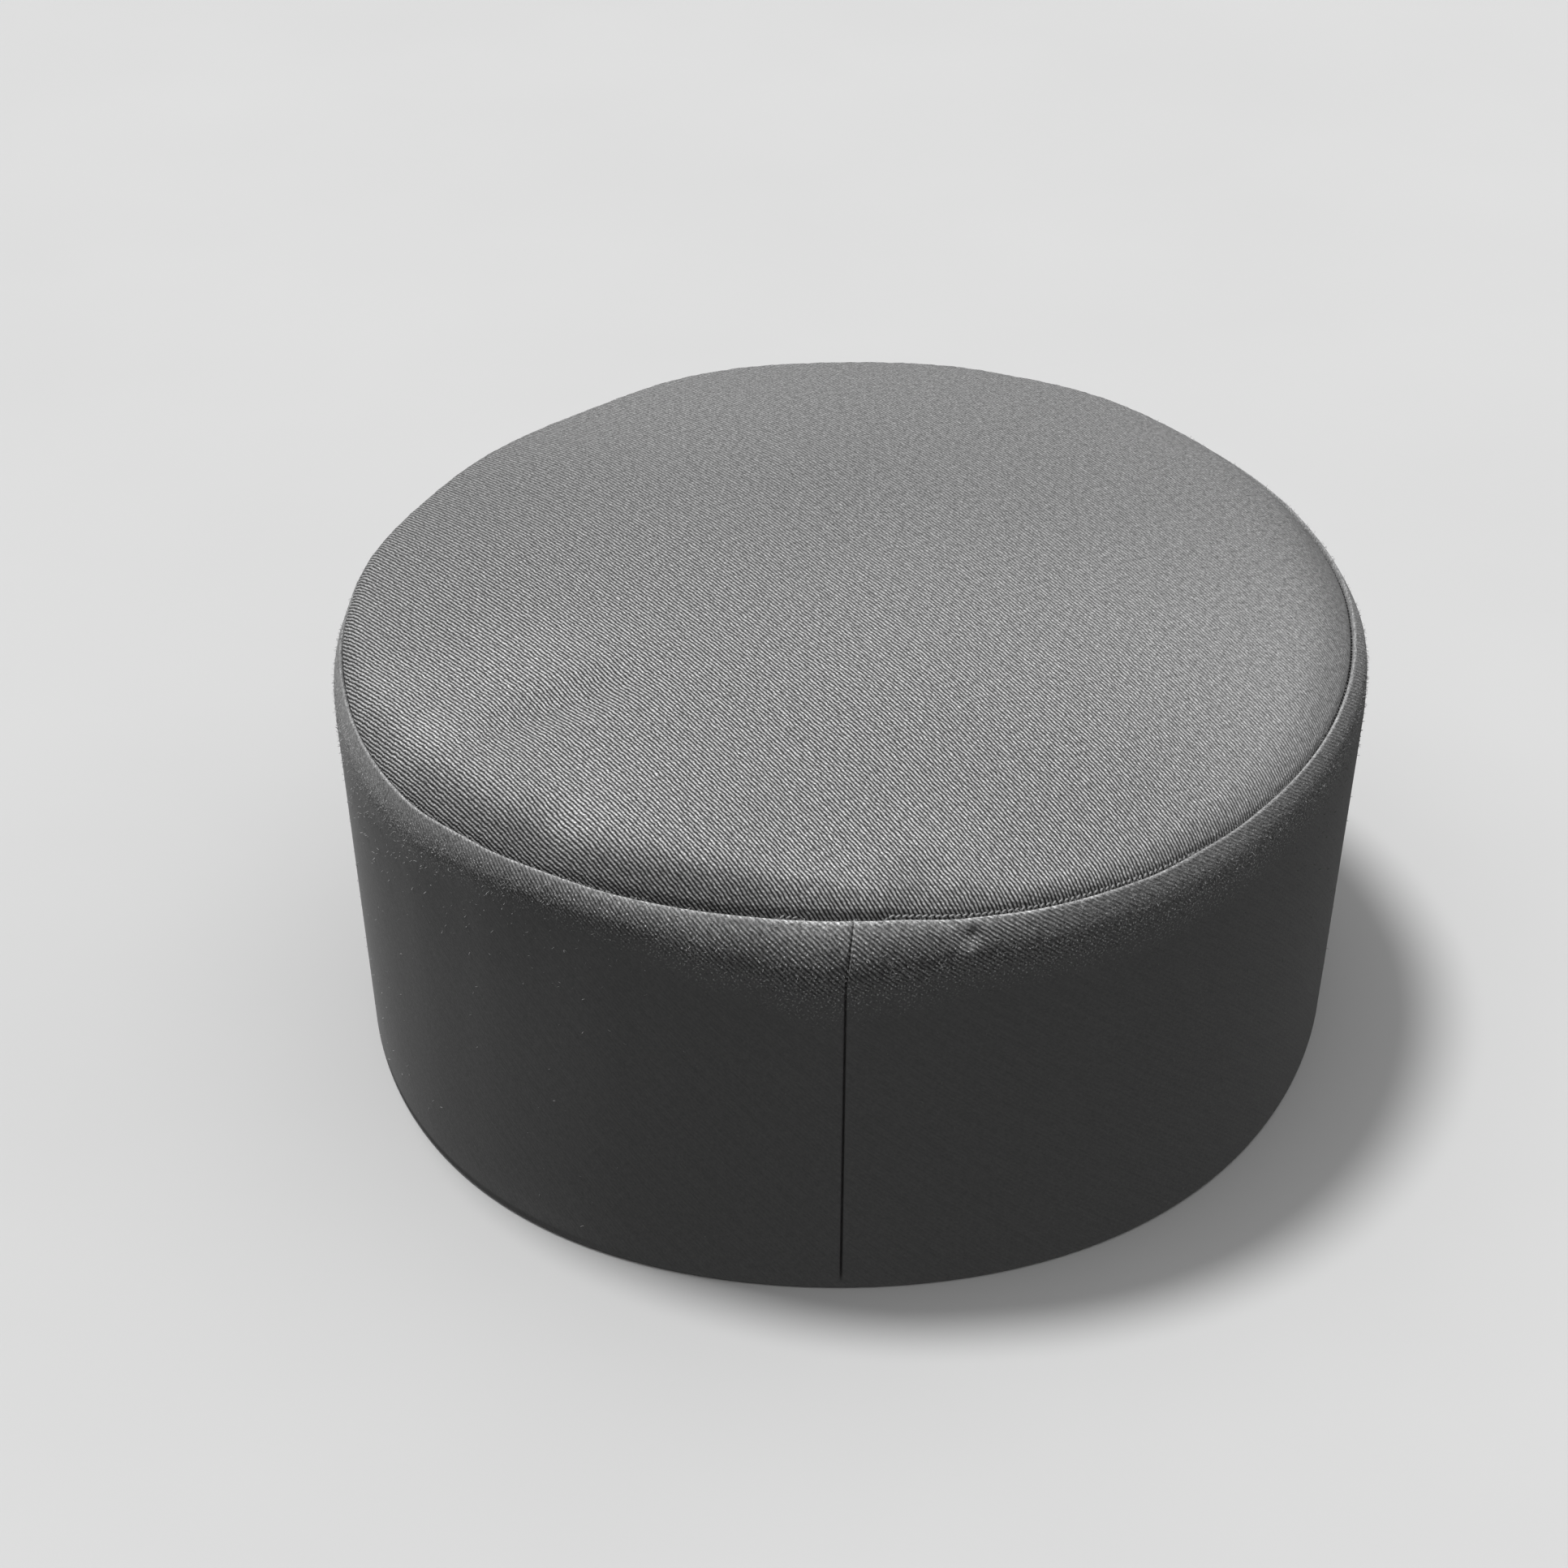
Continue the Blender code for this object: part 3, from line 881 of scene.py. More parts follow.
def band_wear_and_painted_shading(places, angles, lip, nap):
    """How pale or dark the band is: its lip partly rubbed and partly a painted highlight, with painted
    highlight and painted shade over the shoulder and in the puckers.
    """
    x, y, z = places.T
    degrees = wrapped_degrees(angles)
    # The lip, partly rubbed and partly a painted highlight
    tone = 1 + (row_values(LIP_WEAR_AND_HIGHLIGHT, degrees)[0] - 1) * lip
    # Broad painted highlight and painted shade on the shoulder
    for fading_in, fading_out, heights, change in SHOULDER_PAINTED_TONES:
        there = ramp(degrees, *fading_in) * (1 - ramp(degrees, *fading_out))
        tone = tone * (1 + change * there * ramp(z, *heights) * (1 - lip))
    # Painted highlight under the lip and painted shade above the nap's end, as the shoulder turns from the
    # light
    paler, darker = row_values(SHOULDER_PAINTED_FALLOFF, degrees)
    above_end = ramp(nap, *PAINTED_DARKER_IN) * (1 - ramp(nap, *PAINTED_DARKER_OUT))
    tone = tone * (1 + paler * (1 - lip) * (1 - ramp(nap, *PAINTED_PALER_OUT)) - darker * above_end)
    # Painted shade in each pucker's hollow and painted highlight on its ridge
    for pucker_x, pucker_z, half_width, half_height, _, share in PUCKERS:
        away = np.hypot((x - pucker_x) / (2 * half_width), (z - pucker_z) / (2 * half_height))
        tone = tone * (1 + (share - 1) * soft(away) * (y < 0))
    return tone


def band_columns():
    """Angles round the oval, closer together in the back seam's groove, and where that seam stands."""
    seam = -math.pi / 2 + BACK_SEAM_TOP_X / SEAM_HALF_WIDTH
    close = np.concatenate((np.linspace(-0.0045, 0.0045, 25), np.linspace(0.0065, 0.0205, 8)))
    close = np.sort(np.concatenate((close, -np.linspace(0.0065, 0.0205, 8))))
    even = -math.pi + 2 * math.pi * np.arange(BAND_COLUMNS) / BAND_COLUMNS
    angles = np.sort(np.concatenate((even[np.abs(even - seam) > 0.024], seam + close)))
    return angles, int(np.argmin(np.abs(angles - seam)))


def leaning(angles, z):
    """The columns' angles at a height: near the back seam they lean with it."""
    seam = -math.pi / 2 + BACK_SEAM_TOP_X / SEAM_HALF_WIDTH
    aside = (BACK_SEAM_RIM_X - BACK_SEAM_TOP_X) * (1 - z / SEAM_HEIGHT) + seam_bend(z)
    lowered = max(0.0, 1 - z / (SEAM_HEIGHT - SHOULDER_DROP))
    aside = aside + RIM_SHIFT_LEFT * lowered + BACK_SEAM_RIM_X * (1 - RIM_WIDTH_SCALE) * lowered
    return angles + aside / SEAM_HALF_WIDTH * soft(np.abs(angles - seam) / BACK_SEAM_REACH)


def band_ring(angles, part, share):
    """One ring of the band's outer face: that share of the way along its lip, its shoulder or its wall."""
    lip_sink = row_values(SHOULDER, wrapped_degrees(angles))[2]
    crease = SEAM_GAP / 2 + seam_shift(angles)
    lip_top = SEAM_HEIGHT - lip_sink
    if part == "lip":
        turn = 0.5 * math.pi * max(0.0, share)
        outward = crease + LIP_WIDTH * (1 - math.cos(turn))
        return outward, lip_top - LIP_RISE * (1 - math.sin(turn)) - LIP_INSIDE * max(0.0, -share)
    out, down = shoulder_run(angles, share if part == "shoulder" else 1.0)
    outward, z = crease + LIP_WIDTH + out, lip_top - down
    if part == "wall":
        foot = z
        z = foot + (WALL_FOOT - foot) * share
        outward = outward - row_values(SHOULDER, wrapped_degrees(angles))[3] * (1 - z / foot)
    return outward, z


def outer_rings():
    """The rings from inside the crease over the lip and the shoulder down the wall."""
    steps = [("lip", share) for share in LIP_SHARES]
    steps += [("shoulder", share) for share in np.linspace(0.03, 1.0, SHOULDER_RINGS)]
    return steps + [("wall", share) for share in np.linspace(0.03, 1.0, WALL_RINGS)]


def make_band():
    """The stiff strip round the head, open above and below, as a closed shell."""
    angles, seam_column = band_columns()
    rings, naps, wear_and_painted_shading, rubs = [], [], [], []
    for part, share in outer_rings():
        turned = leaning(angles, float(band_ring(np.array([-math.pi / 2]), part, share)[1][0]))
        outward, z = band_ring(turned, part, share)
        places = band_place(turned, outward, z)
        yielding = {"lip": max(0.0, share), "shoulder": 1.0, "wall": 1.0}[part]
        length = arc_lengths(turned)
        uneven = 0.00010 * undulation(length, z, 0.05, 7)
        uneven = uneven * ramp(SEAM_HEIGHT - z, 0.002, 0.012) * ramp(z, 0.0, 0.01)
        pressed = yielding * (band_press(places) + uneven)
        out_x, out_y = oval_outward(turned)
        places[:, 0] -= out_x * pressed
        places[:, 1] -= out_y * pressed
        rings.append(places)
        # How far down the nap each point lies, in lengths of its shoulder
        shoulder_length, _, lip_sink, _ = row_values(SHOULDER, wrapped_degrees(turned))
        naps.append((SEAM_HEIGHT - lip_sink - z) / shoulder_length)
        lip = {"lip": ramp(share, 0.2, 0.7), "shoulder": 1 - ramp(share, 0.03, 0.15), "wall": 0.0}[part]
        # Painted shade and highlight over the shoulder and in the puckers, with the lip partly rubbed, kept as
        # the tone
        wear_and_painted_shading.append(band_wear_and_painted_shading(places, turned, lip, naps[-1]))
        # The ribs show clearest at the back, and are rubbed to a nap along the lip and at the sides
        aside = RUBBED_AT_SIDES * ramp(np.abs(wrapped_degrees(turned) - CLEAR_RIBS_AT), *RUBBED_SIDES_IN)
        behind = RUBBED_BEHIND + RUBBED_AT_LIP * (1 - ramp(naps[-1], *RUBBED_LIP_OUT))
        rubs.append(np.maximum(aside, behind))
    wall = SHOULDER_WIDTH
    inner = SHOULDER_WIDTH - BAND_THICKNESS + SEAM_GAP / 2
    shoulder_foot = SEAM_HEIGHT - SHOULDER_DROP
    for outward, z in (
        (wall, 0.0016),
        (wall, RIM_ROUNDING),
        (wall - 0.3 * RIM_ROUNDING, 0.3 * RIM_ROUNDING),
        (wall - RIM_ROUNDING, 0.0),
        (inner + RIM_ROUNDING, 0.0),
        (inner, RIM_ROUNDING),
        (inner, 0.02),
        (inner, 0.04),
        (inner, shoulder_foot),
        (inner, SEAM_HEIGHT - 0.004),
    ):
        rings.append(band_place(leaning(angles, z), outward, z))
        naps.append(np.full(len(angles), PRESSED_FLAT))
        wear_and_painted_shading.append(np.ones(len(angles)))
        rubs.append(np.ones(len(angles)))
    made = ringed_mesh("band_cloth", rings, loop=True)
    lay_band_cloth(made, rings, angles, seam_column)
    # Below the shoulder the cloth is pressed smooth
    keep_values(made, "pressed", np.clip((np.concatenate(naps) - PRESSED_FROM) / PRESSED_SOFTLY, -1, 2))
    keep_values(made, "worn", np.concatenate(rubs))
    keep_values(made, "tone", np.concatenate(wear_and_painted_shading))
    return made


def cloth_place(from_seam, whole, depth):
    """Where a point of the band lay on the flat strip, turned so that the first number runs across the ribs.

    The strip is cut a little on the curve, so its ribs lean differently at its two ends.
    """
    lean = RIB_LEAN_RIGHT + (RIB_LEAN_LEFT - RIB_LEAN_RIGHT) * from_seam / whole
    middle = (RIB_LEAN_RIGHT + lean) / 2
    across = from_seam * np.sin(middle) - depth * np.cos(lean)
    along = from_seam * np.cos(middle) + depth * np.sin(lean)
    return across, along


def lay_band_cloth(made, rings, angles, seam_column):
    """Gives the band its UV map, which jumps where the strip's two ends meet and inside the crease."""
    count = len(angles)
    length = arc_lengths(np.append(angles, angles[0] + 2 * math.pi))
    whole = length[-1]
    from_seam = (length[:-1] - length[seam_column]) % whole
    places = np.stack(rings)
    steps = np.linalg.norm(np.diff(places, axis=0), axis=2)
    depth = np.concatenate((np.zeros((1, count)), np.cumsum(steps, axis=0)))
    deepest = depth[-1] + np.linalg.norm(places[0] - places[-1], axis=1)
    mesh = made.data
    corners = np.zeros(len(mesh.loops), np.int32)
    mesh.loops.foreach_get("vertex_index", corners)
    corner_columns = (corners % count).reshape(-1, 4)
    corner_rings = (corners // count).reshape(-1, 4)
    ends = (corner_columns == seam_column) & ((seam_column - corner_columns.min(1)) == 1)[:, None]
    corner_from = np.where(ends, whole, from_seam[corner_columns])
    closing = (corner_rings == 0) & (corner_rings.max(1) == len(rings) - 1)[:, None]
    corner_depth = np.where(closing, deepest[corner_columns], depth[corner_rings, corner_columns])
    across, along = cloth_place(corner_from, whole, corner_depth)
    cloth = mesh.uv_layers.new(name="Cloth")
    cloth.data.foreach_set("uv", np.stack([across.ravel(), along.ravel()], -1).astype(np.float32).ravel())


# Stitches and fibres


def node_group(name, **sockets):
    """An empty tree of geometry nodes with named inputs of some kinds, its inputs, and its output node."""
    tree = bpy.data.node_groups.new(name, "GeometryNodeTree")
    tree.interface.new_socket(name="Geometry", in_out="OUTPUT", socket_type="NodeSocketGeometry")
    for socket, kind in {"Geometry": "Geometry", **sockets, "Seed": "Int", "Material": "Material"}.items():
        named = socket.replace("_", " ")
        tree.interface.new_socket(name=named, in_out="INPUT", socket_type=f"NodeSocket{kind}")
    return tree, add_node(tree, "NodeGroupInput").outputs, add_node(tree, "NodeGroupOutput")


def grown(name, source, tree, values):
    """A plain mesh of what the tree makes on the source, which is then removed."""
    modifier = source.modifiers.new("nodes", "NODES")
    modifier.node_group = tree
    for item in tree.interface.items_tree:
        if item.item_type == "SOCKET" and item.in_out == "INPUT" and item.name in values:
            modifier[item.identifier] = values[item.name]
    bpy.context.view_layer.update()
    evaluated = source.evaluated_get(bpy.context.evaluated_depsgraph_get())
    mesh = bpy.data.meshes.new_from_object(evaluated)
    mesh.name = name
    made = link_object(name, mesh)
    source.modifiers.remove(modifier)
    bpy.data.objects.remove(source)
    return made


def finish_tree(tree, instances, material, out):
    """Real, smooth meshes with their material."""
    real = add_node(tree, "GeometryNodeRealizeInstances", Geometry=instances)
    smooth = add_node(tree, "GeometryNodeSetShadeSmooth", Geometry=real)
    coated = add_node(tree, "GeometryNodeSetMaterial", Geometry=smooth, Material=material)
    tree.links.new(coated.outputs[0], out.inputs[0])


def stitch_tree():
    """Stitches along a path: one rounded length of thread every pitch, slanted like a rope's strands."""
    tree, take, out = node_group(
        "seam stitches", Pitch="Float", Stitch_length="Float", Thread_thickness="Float", Slant="Float"
    )
    add = partial(add_node, tree)
    path = add("GeometryNodeMeshToCurve", Mesh=take["Geometry"])
    spaced = add("GeometryNodeResampleCurve", {"mode": "LENGTH"}, Curve=path, Length=take["Pitch"])
    spots = add("GeometryNodeCurveToPoints", {"mode": "EVALUATED"}, Curve=spaced)
    strand = add("GeometryNodeMeshUVSphere", Segments=8, Rings=6, Radius=0.5)
    thickness = take["Thread thickness"]
    sizes = add(COMBINE, X=take["Stitch length"], Y=thickness, Z=thickness)
    sized = add("GeometryNodeTransform", Geometry=strand, Scale=sizes)
    along = add("FunctionNodeAlignRotationToVector", {"axis": "X"}, Vector=spots.outputs["Tangent"])
    slant = add(COMBINE, Z=take["Slant"])
    jitter = add(RANDOM, VECTORS, at_0=(-0.10, -0.12, -0.12), at_1=(0.10, 0.12, 0.12), Seed=take["Seed"])
    turned = add(VECTOR_MATHS, PLUS, at_0=slant, at_1=jitter)
    turn = add("FunctionNodeEulerToRotation", Euler=turned)
    facing = add("FunctionNodeRotateRotation", LOCAL, Rotation=along, Rotate_By=turn)
    swell = add(NAMED, NUMBERS, Name="size")
    placed = add("GeometryNodeInstanceOnPoints", Points=spots, Instance=sized, Rotation=facing, Scale=swell)
    finish_tree(tree, placed, take["Material"], out)
    return tree


def fibre_tree():
    """Loose fibres on a sheet: bent hairs scattered by its density, turned and sized at random."""
    tree, take, out = node_group(
        "loose fibres", Density="Float", Fibre_length="Float", Fibre_thickness="Float", Lean="Float"
    )
    add = partial(add_node, tree)
    each = add(MATHS, TIMES, at_0=add(NAMED, NUMBERS, Name="density"), at_1=take["Density"])
    spots = add(
        "GeometryNodeDistributePointsOnFaces",
        {"distribute_method": "RANDOM"},
        Mesh=take["Geometry"],
        Density=each,
        Seed=take["Seed"],
    )
    # One hair, a unit long: it starts in the cloth, rises and bends over
    bend = add(
        "GeometryNodeCurveQuadraticBezier", Resolution=3, Start=(0, 0, -0.12), Middle=(0.1, 0, 0.55),
        End=(0.62, 0.1, 0.7),
    )
    wide = add(MATHS, OVER, at_0=take["Fibre thickness"], at_1=take["Fibre length"])
    half = add(MATHS, TIMES, at_0=wide, at_1=0.5)
    section = add("GeometryNodeCurvePrimitiveCircle", {"mode": "RADIUS"}, Resolution=3, Radius=half)
    hair = add("GeometryNodeCurveToMesh", Curve=bend, Profile_Curve=section, Fill_Caps=True)
    any_turn = add(RANDOM, VECTORS, at_0=(-1, -1, -3.1416), at_1=(1, 1, 3.1416), Seed=take["Seed"])
    leaned = add(COMBINE, X=take["Lean"], Y=take["Lean"], Z=1.0)
    turn = add("FunctionNodeEulerToRotation", Euler=add(VECTOR_MATHS, TIMES, at_0=any_turn, at_1=leaned))
    facing = add("FunctionNodeRotateRotation", LOCAL, Rotation=spots.outputs["Rotation"], Rotate_By=turn)
    other = add(MATHS, PLUS, at_0=take["Seed"], at_1=1.0)
    share = add(RANDOM, NUMBERS, at_2=0.35, at_3=1.35, Seed=other)
    size = add(MATHS, TIMES, at_0=share, at_1=take["Fibre length"])
    placed = add("GeometryNodeInstanceOnPoints", Points=spots, Instance=hair, Rotation=facing, Scale=size)
    finish_tree(tree, placed, take["Material"], out)
    return tree


def seam_path():
    """The line of the stitches in the crease, with their size along it and how far they show."""
    angles = -math.pi + 2 * math.pi * np.arange(SEAM_POINTS) / SEAM_POINTS
    x = oval(angles)[0]
    fainter, start, end = SHOWN_FAINTER
    right = ramp(x, *SHOWN_FROM) * (1 - fainter * ramp(x, start, end)) * (1 - ramp(x, *SHOWN_TO))
    left = SHOWN_LEFT * ramp(x, *SHOWN_LEFT_FROM) * (1 - ramp(x, *SHOWN_LEFT_TO))
    shown = np.maximum(right, left) * (np.sin(angles) < 0)
    lip_sink = row_values(SHOULDER, wrapped_degrees(angles))[2]
    height = SEAM_HEIGHT - lip_sink - STITCH_SUNK + STITCH_RAISED * shown
    places = band_place(angles, seam_shift(angles) - STITCH_INWARDS * shown, height)
    mesh = bpy.data.meshes.new("seam path")
    mesh.from_pydata(places.tolist(), [(i, (i + 1) % SEAM_POINTS) for i in range(SEAM_POINTS)], [])
    made = link_object("seam path", mesh)
    keep_values(made, "size", 0.85 + 0.25 * shown)
    keep_values(made, "shown", shown)
    return made


def nap_strip(steps, density_at):
    """A strip over the band's outer face along some of its rings, with the fibres' density on it."""
    columns = NAP_COLUMNS
    angles = -math.pi + 2 * math.pi * np.arange(columns) / columns
    rings, density = [], []
    for part, share in steps:
        outward, z = band_ring(angles, part, share)
        rings.append(band_place(angles, outward, z))
        density.append(density_at(angles, part, share))
    faces = []
    for row in range(len(rings) - 1):
        upper, lower = row * columns, (row + 1) * columns
        for i in range(columns):
            j = (i + 1) % columns
            faces.append((upper + i, lower + i, lower + j, upper + j))
    mesh = bpy.data.meshes.new("nap strip")
    mesh.from_pydata(np.concatenate(rings).tolist(), [], faces)
    made = link_object("nap strip", mesh)
    keep_values(made, "density", np.concatenate(density))
    return made


def edge_density(angles, part, share):
    """Fibres of the folded edge: thickest on the lip, patchy, and more again where the nap ends."""
    x, y = oval(angles)
    patchy = np.clip(0.7 + 0.6 * undulation(x, y, 0.008, 21), 0.05, 1.8)
    if part == "lip":
        return patchy
    end, width = NAP_END
    return patchy * (FIBRES_LEAST + FIBRES_AT_END * math.exp(-((share - end) / width) ** 2))


def lint_density(angles, part, share):
    """Lint on the band: most below the shoulder and away from the back, less towards the rim."""
    close = 1.0 if part == "shoulder" else math.exp(-((share / LINT_FADE) ** 2))
    sides = ramp(np.abs(wrapped_degrees(angles) - CLEAR_RIBS_AT), *LINT_SIDES_IN)
    return LINT_LEAST + LINT_BELOW_SHOULDER * close * (1 + LINT_AT_SIDES * sides)


# Materials


def new_material(name, **surface):
    """A new material with its tree and its shader, whose plain numbers are set."""
    material = bpy.data.materials.new(name)
    material.use_nodes = True
    shader = material.node_tree.nodes["Principled BSDF"]
    for setting, value in surface.items():
        shader.inputs[setting.replace("_", " ")].default_value = value
    return material, material.node_tree, shader


def twill_material(name, pitch, colours):
    """Cotton twill, woven and pressed: raised slanting ribs of short yarn floats, with dark valleys between.

    To the eye it gives fine slanting ribs that the light rakes, a heathered grey and a dry, dull surface.
    Three numbers on the cloth change it: pressed, from 0 to 1 where the ribs are ironed flat, worn, where
    they are rubbed to a nap, and tone, mostly painted shade and painted highlight, with some wear on the lip.
    """
    material, tree, shader = new_material(
        name,
        Roughness=0.9,
        IOR=1.5,
        Specular_IOR_Level=0.12,
        Sheen_Weight=0.05,
        Sheen_Roughness=0.4,
        Sheen_Tint=(1, 1, 1, 1),
    )
    add = partial(add_node, tree)
    cloth = add("ShaderNodeUVMap", {"uv_map": "Cloth"})
    edge, worn, tone = (
        add(KEPT, {"attribute_name": kept}).outputs["Fac"] for kept in ("pressed", "worn", "tone")
    )
    # Single fibres lie along the ribs, about 0.15 mm across and 0.6 mm along as drawn, and warp streaks run
    # down the pressed band, about 0.5 mm apart
    along_ribs = add(MAPPING, Vector=cloth, Scale=(3400.0, 1500.0, 1.0))
    down_band = add(MAPPING, Vector=cloth, Scale=(1400.0, 90.0, 1.0))
    # Each noise: what it lies on, how often in a metre, its detail and its roughness
    noise = {
        kind: add(NOISE, IN_PLANE, Vector=place, Scale=per_metre, Detail=detail, Roughness=roughness)
        for kind, place, per_metre, detail, roughness in (
            ("ragged", cloth, 650.0, 2.0, 0.7),
            ("frayed", cloth, 2600.0, 1.0, 0.5),
            ("yarn", cloth, 700.0, 1.0, 0.5),
            ("fibres", along_ribs, 1.0, 2.0, 0.75),
            ("heather", cloth, 800.0, 3.0, 0.8),
            ("streaks", down_band, 1.0, 2.0, 0.6),
            ("specks", cloth, 3300.0, 1.0, 0.6),
            ("ends", cloth, 3000.0, 1.0, 0.6),
            ("spots", cloth, 1400.0, 2.0, 0.7),
        )
    }
    # The nap ends in a ragged line, drawn by noise of about 1.5 mm and 0.4 mm
    ragged = add(MATHS, PLUS, at_0=noise["ragged"], at_1=noise["frayed"])
    lowered = add(MATHS, PLUS, at_0=edge, at_1=-1.1)
    beyond = add(MATHS, TIMES_PLUS, at_0=ragged, at_1=1.1, at_2=lowered)
    pressed = add(RANGE, CLAMPED, Value=beyond, **span(0.0, 1.0, 0.0, 1.0))
    # The yarn is uneven, so each rib wanders by a part of the pitch
    parts = add("ShaderNodeSeparateXYZ", Vector=cloth)
    wander = add(MATHS, TIMES_PLUS, at_0=noise["yarn"], at_1=0.5, at_2=-0.25)
    ribs = add(MATHS, TIMES_PLUS, at_0=parts.outputs["X"], at_1=1 / pitch, at_2=wander)
    turn = add(MATHS, TIMES, at_0=ribs, at_1=2 * math.pi)
    rib = add(RANGE, CLAMPED, Value=add(MATHS, SINE, at_0=turn), **span(-0.75, 0.75, 0.0, 1.0))
    # Floats of yarn along each rib, a little over a pitch long, half a step on from the next rib's
    along = add(MATHS, TIMES, at_0=parts.outputs["Y"], at_1=2 * math.pi / (1.2 * pitch))
    step = add(MATHS, TIMES_PLUS, at_0=turn, at_1=0.5, at_2=along)
    float_rise = add(MATHS, TIMES_PLUS, at_0=add(MATHS, SINE, at_0=step), at_1=0.16, at_2=0.84)
    crest = add(MATHS, TIMES, at_0=rib, at_1=float_rise)
    # Colour: from valley to rib, or their mean where the cloth is pressed flat or rubbed; the valleys' darkness
    # is partly dye and partly painted shade between the ribs
    woven = add(MIX, COLOURS, at_0=crest, at_6=(*colours.valley, 1), at_7=(*colours.rib, 1))
    ironed = add(MATHS, TIMES, at_0=pressed, at_1=0.97)
    rubbed_flat = add(MATHS, TIMES, at_0=worn, at_1=0.72)
    flat = add(MATHS, MOST, at_0=ironed, at_1=rubbed_flat)
    base = add(MIX, COLOURS, at_0=flat, at_6=woven, at_7=(*colours.pressed, 1))
    # Fibres and the unevenness of the yarn's dye, calmer where the cloth is pressed
    fine = add(RANGE, CLAMPED, Value=noise["fibres"], **span(0.3, 0.75, 0.60, 1.5))
    dyed = add(RANGE, CLAMPED, Value=noise["heather"], **span(0.3, 0.7, 0.72, 1.28))
    calm = add(RANGE, CLAMPED, Value=pressed, **span(0.0, 1.0, 1.0, 0.22))
    even = add(MATHS, MINUS, at_0=1.0, at_1=calm)
    mottle = add(MATHS, TIMES, at_0=fine, at_1=dyed)
    mottle = add(MATHS, TIMES_PLUS, at_0=mottle, at_1=calm, at_2=even)
    streaks = add(RANGE, CLAMPED, Value=noise["streaks"], **span(0.3, 0.7, 0.96, 1.04))
    mottle = add(MATHS, TIMES, at_0=mottle, at_1=streaks)
    # Rubbed-up fibre ends catch the light as pale specks of about 0.3 mm
    specks = add(RANGE, CLAMPED, Value=noise["specks"], **span(0.63, 0.72, 0.0, 1.0))
    specks = add(MATHS, TIMES, at_0=specks, at_1=add(MATHS, TIMES, at_0=worn, at_1=0.65))
    mottle = add(MATHS, PLUS, at_0=mottle, at_1=add(MATHS, TIMES, at_0=specks, at_1=calm))
    # Where the nap ends it breaks up into single pale fibre ends
    starting = add(RANGE, CLAMPED, Value=edge, **span(-1.0, -0.2, 0.0, 1.0))
    stopping = add(RANGE, CLAMPED, Value=edge, **span(0.7, 2.0, 1.0, 0.0))
    ending = add(MATHS, TIMES, at_0=starting, at_1=stopping)
    ends = add(RANGE, CLAMPED, Value=noise["ends"], **span(0.66, 0.71, 0.0, 3.2))
    mottle = add(MATHS, PLUS, at_0=mottle, at_1=add(MATHS, TIMES, at_0=ends, at_1=ending))
    # Tone, mostly painted shade and highlight: a darker share is even, a paler one is laid in ragged spots of
    # about 0.7 mm
    spots = add(RANGE, CLAMPED, Value=noise["spots"], **span(0.36, 0.64, 0.1, 1.9))
    paler = add(MATHS, MOST, at_0=add(MATHS, MINUS, at_0=tone, at_1=1.0), at_1=0.0)
    rubbed = add(MATHS, TIMES, at_0=paler, at_1=spots)
    darker = add(MATHS, LEAST, at_0=tone, at_1=1.0)
    mottle = add(MATHS, TIMES, at_0=mottle, at_1=add(MATHS, PLUS, at_0=darker, at_1=rubbed))
    tint = add(VECTOR_MATHS, SCALED, at_0=base, Scale=mottle)
    tree.links.new(tint.outputs[0], shader.inputs["Base Color"])
    # Height: ribs and fibres, nearly flat where the cloth is pressed
    standing = add(RANGE, CLAMPED, Value=worn, **span(0.0, 1.0, 1.0, 0.2))
    standing = add(MATHS, TIMES, at_0=crest, at_1=standing)
    rough = add(MATHS, TIMES_PLUS, at_0=noise["fibres"], at_1=0.6, at_2=standing)
    kept_relief = add(RANGE, CLAMPED, Value=pressed, **span(0.0, 1.0, 1.0, 0.06))
    height = add(MATHS, TIMES, at_0=rough, at_1=kept_relief)
    bump = add("ShaderNodeBump", Strength=1.0, Distance=0.00013, Height=height)
    tree.links.new(bump.outputs[0], shader.inputs["Normal"])
    return material


def yarn_material(name, colour, grain, crease_shade_share=1.0):
    """Spun fibre, twisted and dull: to the eye a soft thread, speckled along it.

    Where the attribute shown is 0 the yarn lies deep in the seam and has a darker share of its colour, painted
    shade of the crease.
    """
    material, tree, shader = new_material(
        name, Roughness=0.85, IOR=1.5, Specular_IOR_Level=0.25, Sheen_Weight=0.2
    )
    add = partial(add_node, tree)
    place = add("ShaderNodeTexCoord").outputs["Object"]
    speckle = add(NOISE, Vector=place, Scale=1 / grain, Detail=1.0)
    tone = add(RANGE, CLAMPED, Value=speckle, **span(0.3, 0.7, 0.75, 1.2))
    # Stitches deep in the seam are darkened with painted shade of the crease
    if crease_shade_share < 1:
        shown = add(KEPT, {"attribute_name": "shown"}).outputs["Fac"]
        sunk = add(RANGE, CLAMPED, Value=shown, **span(0.0, 1.0, crease_shade_share, 1.0))
        tone = add(MATHS, TIMES, at_0=tone, at_1=sunk)
    tint = add(VECTOR_MATHS, SCALED, at_0=tuple(colour), Scale=tone)
    tree.links.new(tint.outputs[0], shader.inputs["Base Color"])
    return material


# Stage


def look_basis(azimuth, elevation, roll):
    """Right, up and back of a camera that looks from an azimuth and elevation, in radians."""
    level = math.cos(elevation)
    back = Vector((math.sin(azimuth) * level, -math.cos(azimuth) * level, math.sin(elevation)))
    right = (-back).cross(Vector((0, 0, 1))).normalized()
    up = right.cross(-back)
    return right * math.cos(roll) + up * math.sin(roll), up * math.cos(roll) - right * math.sin(roll), back


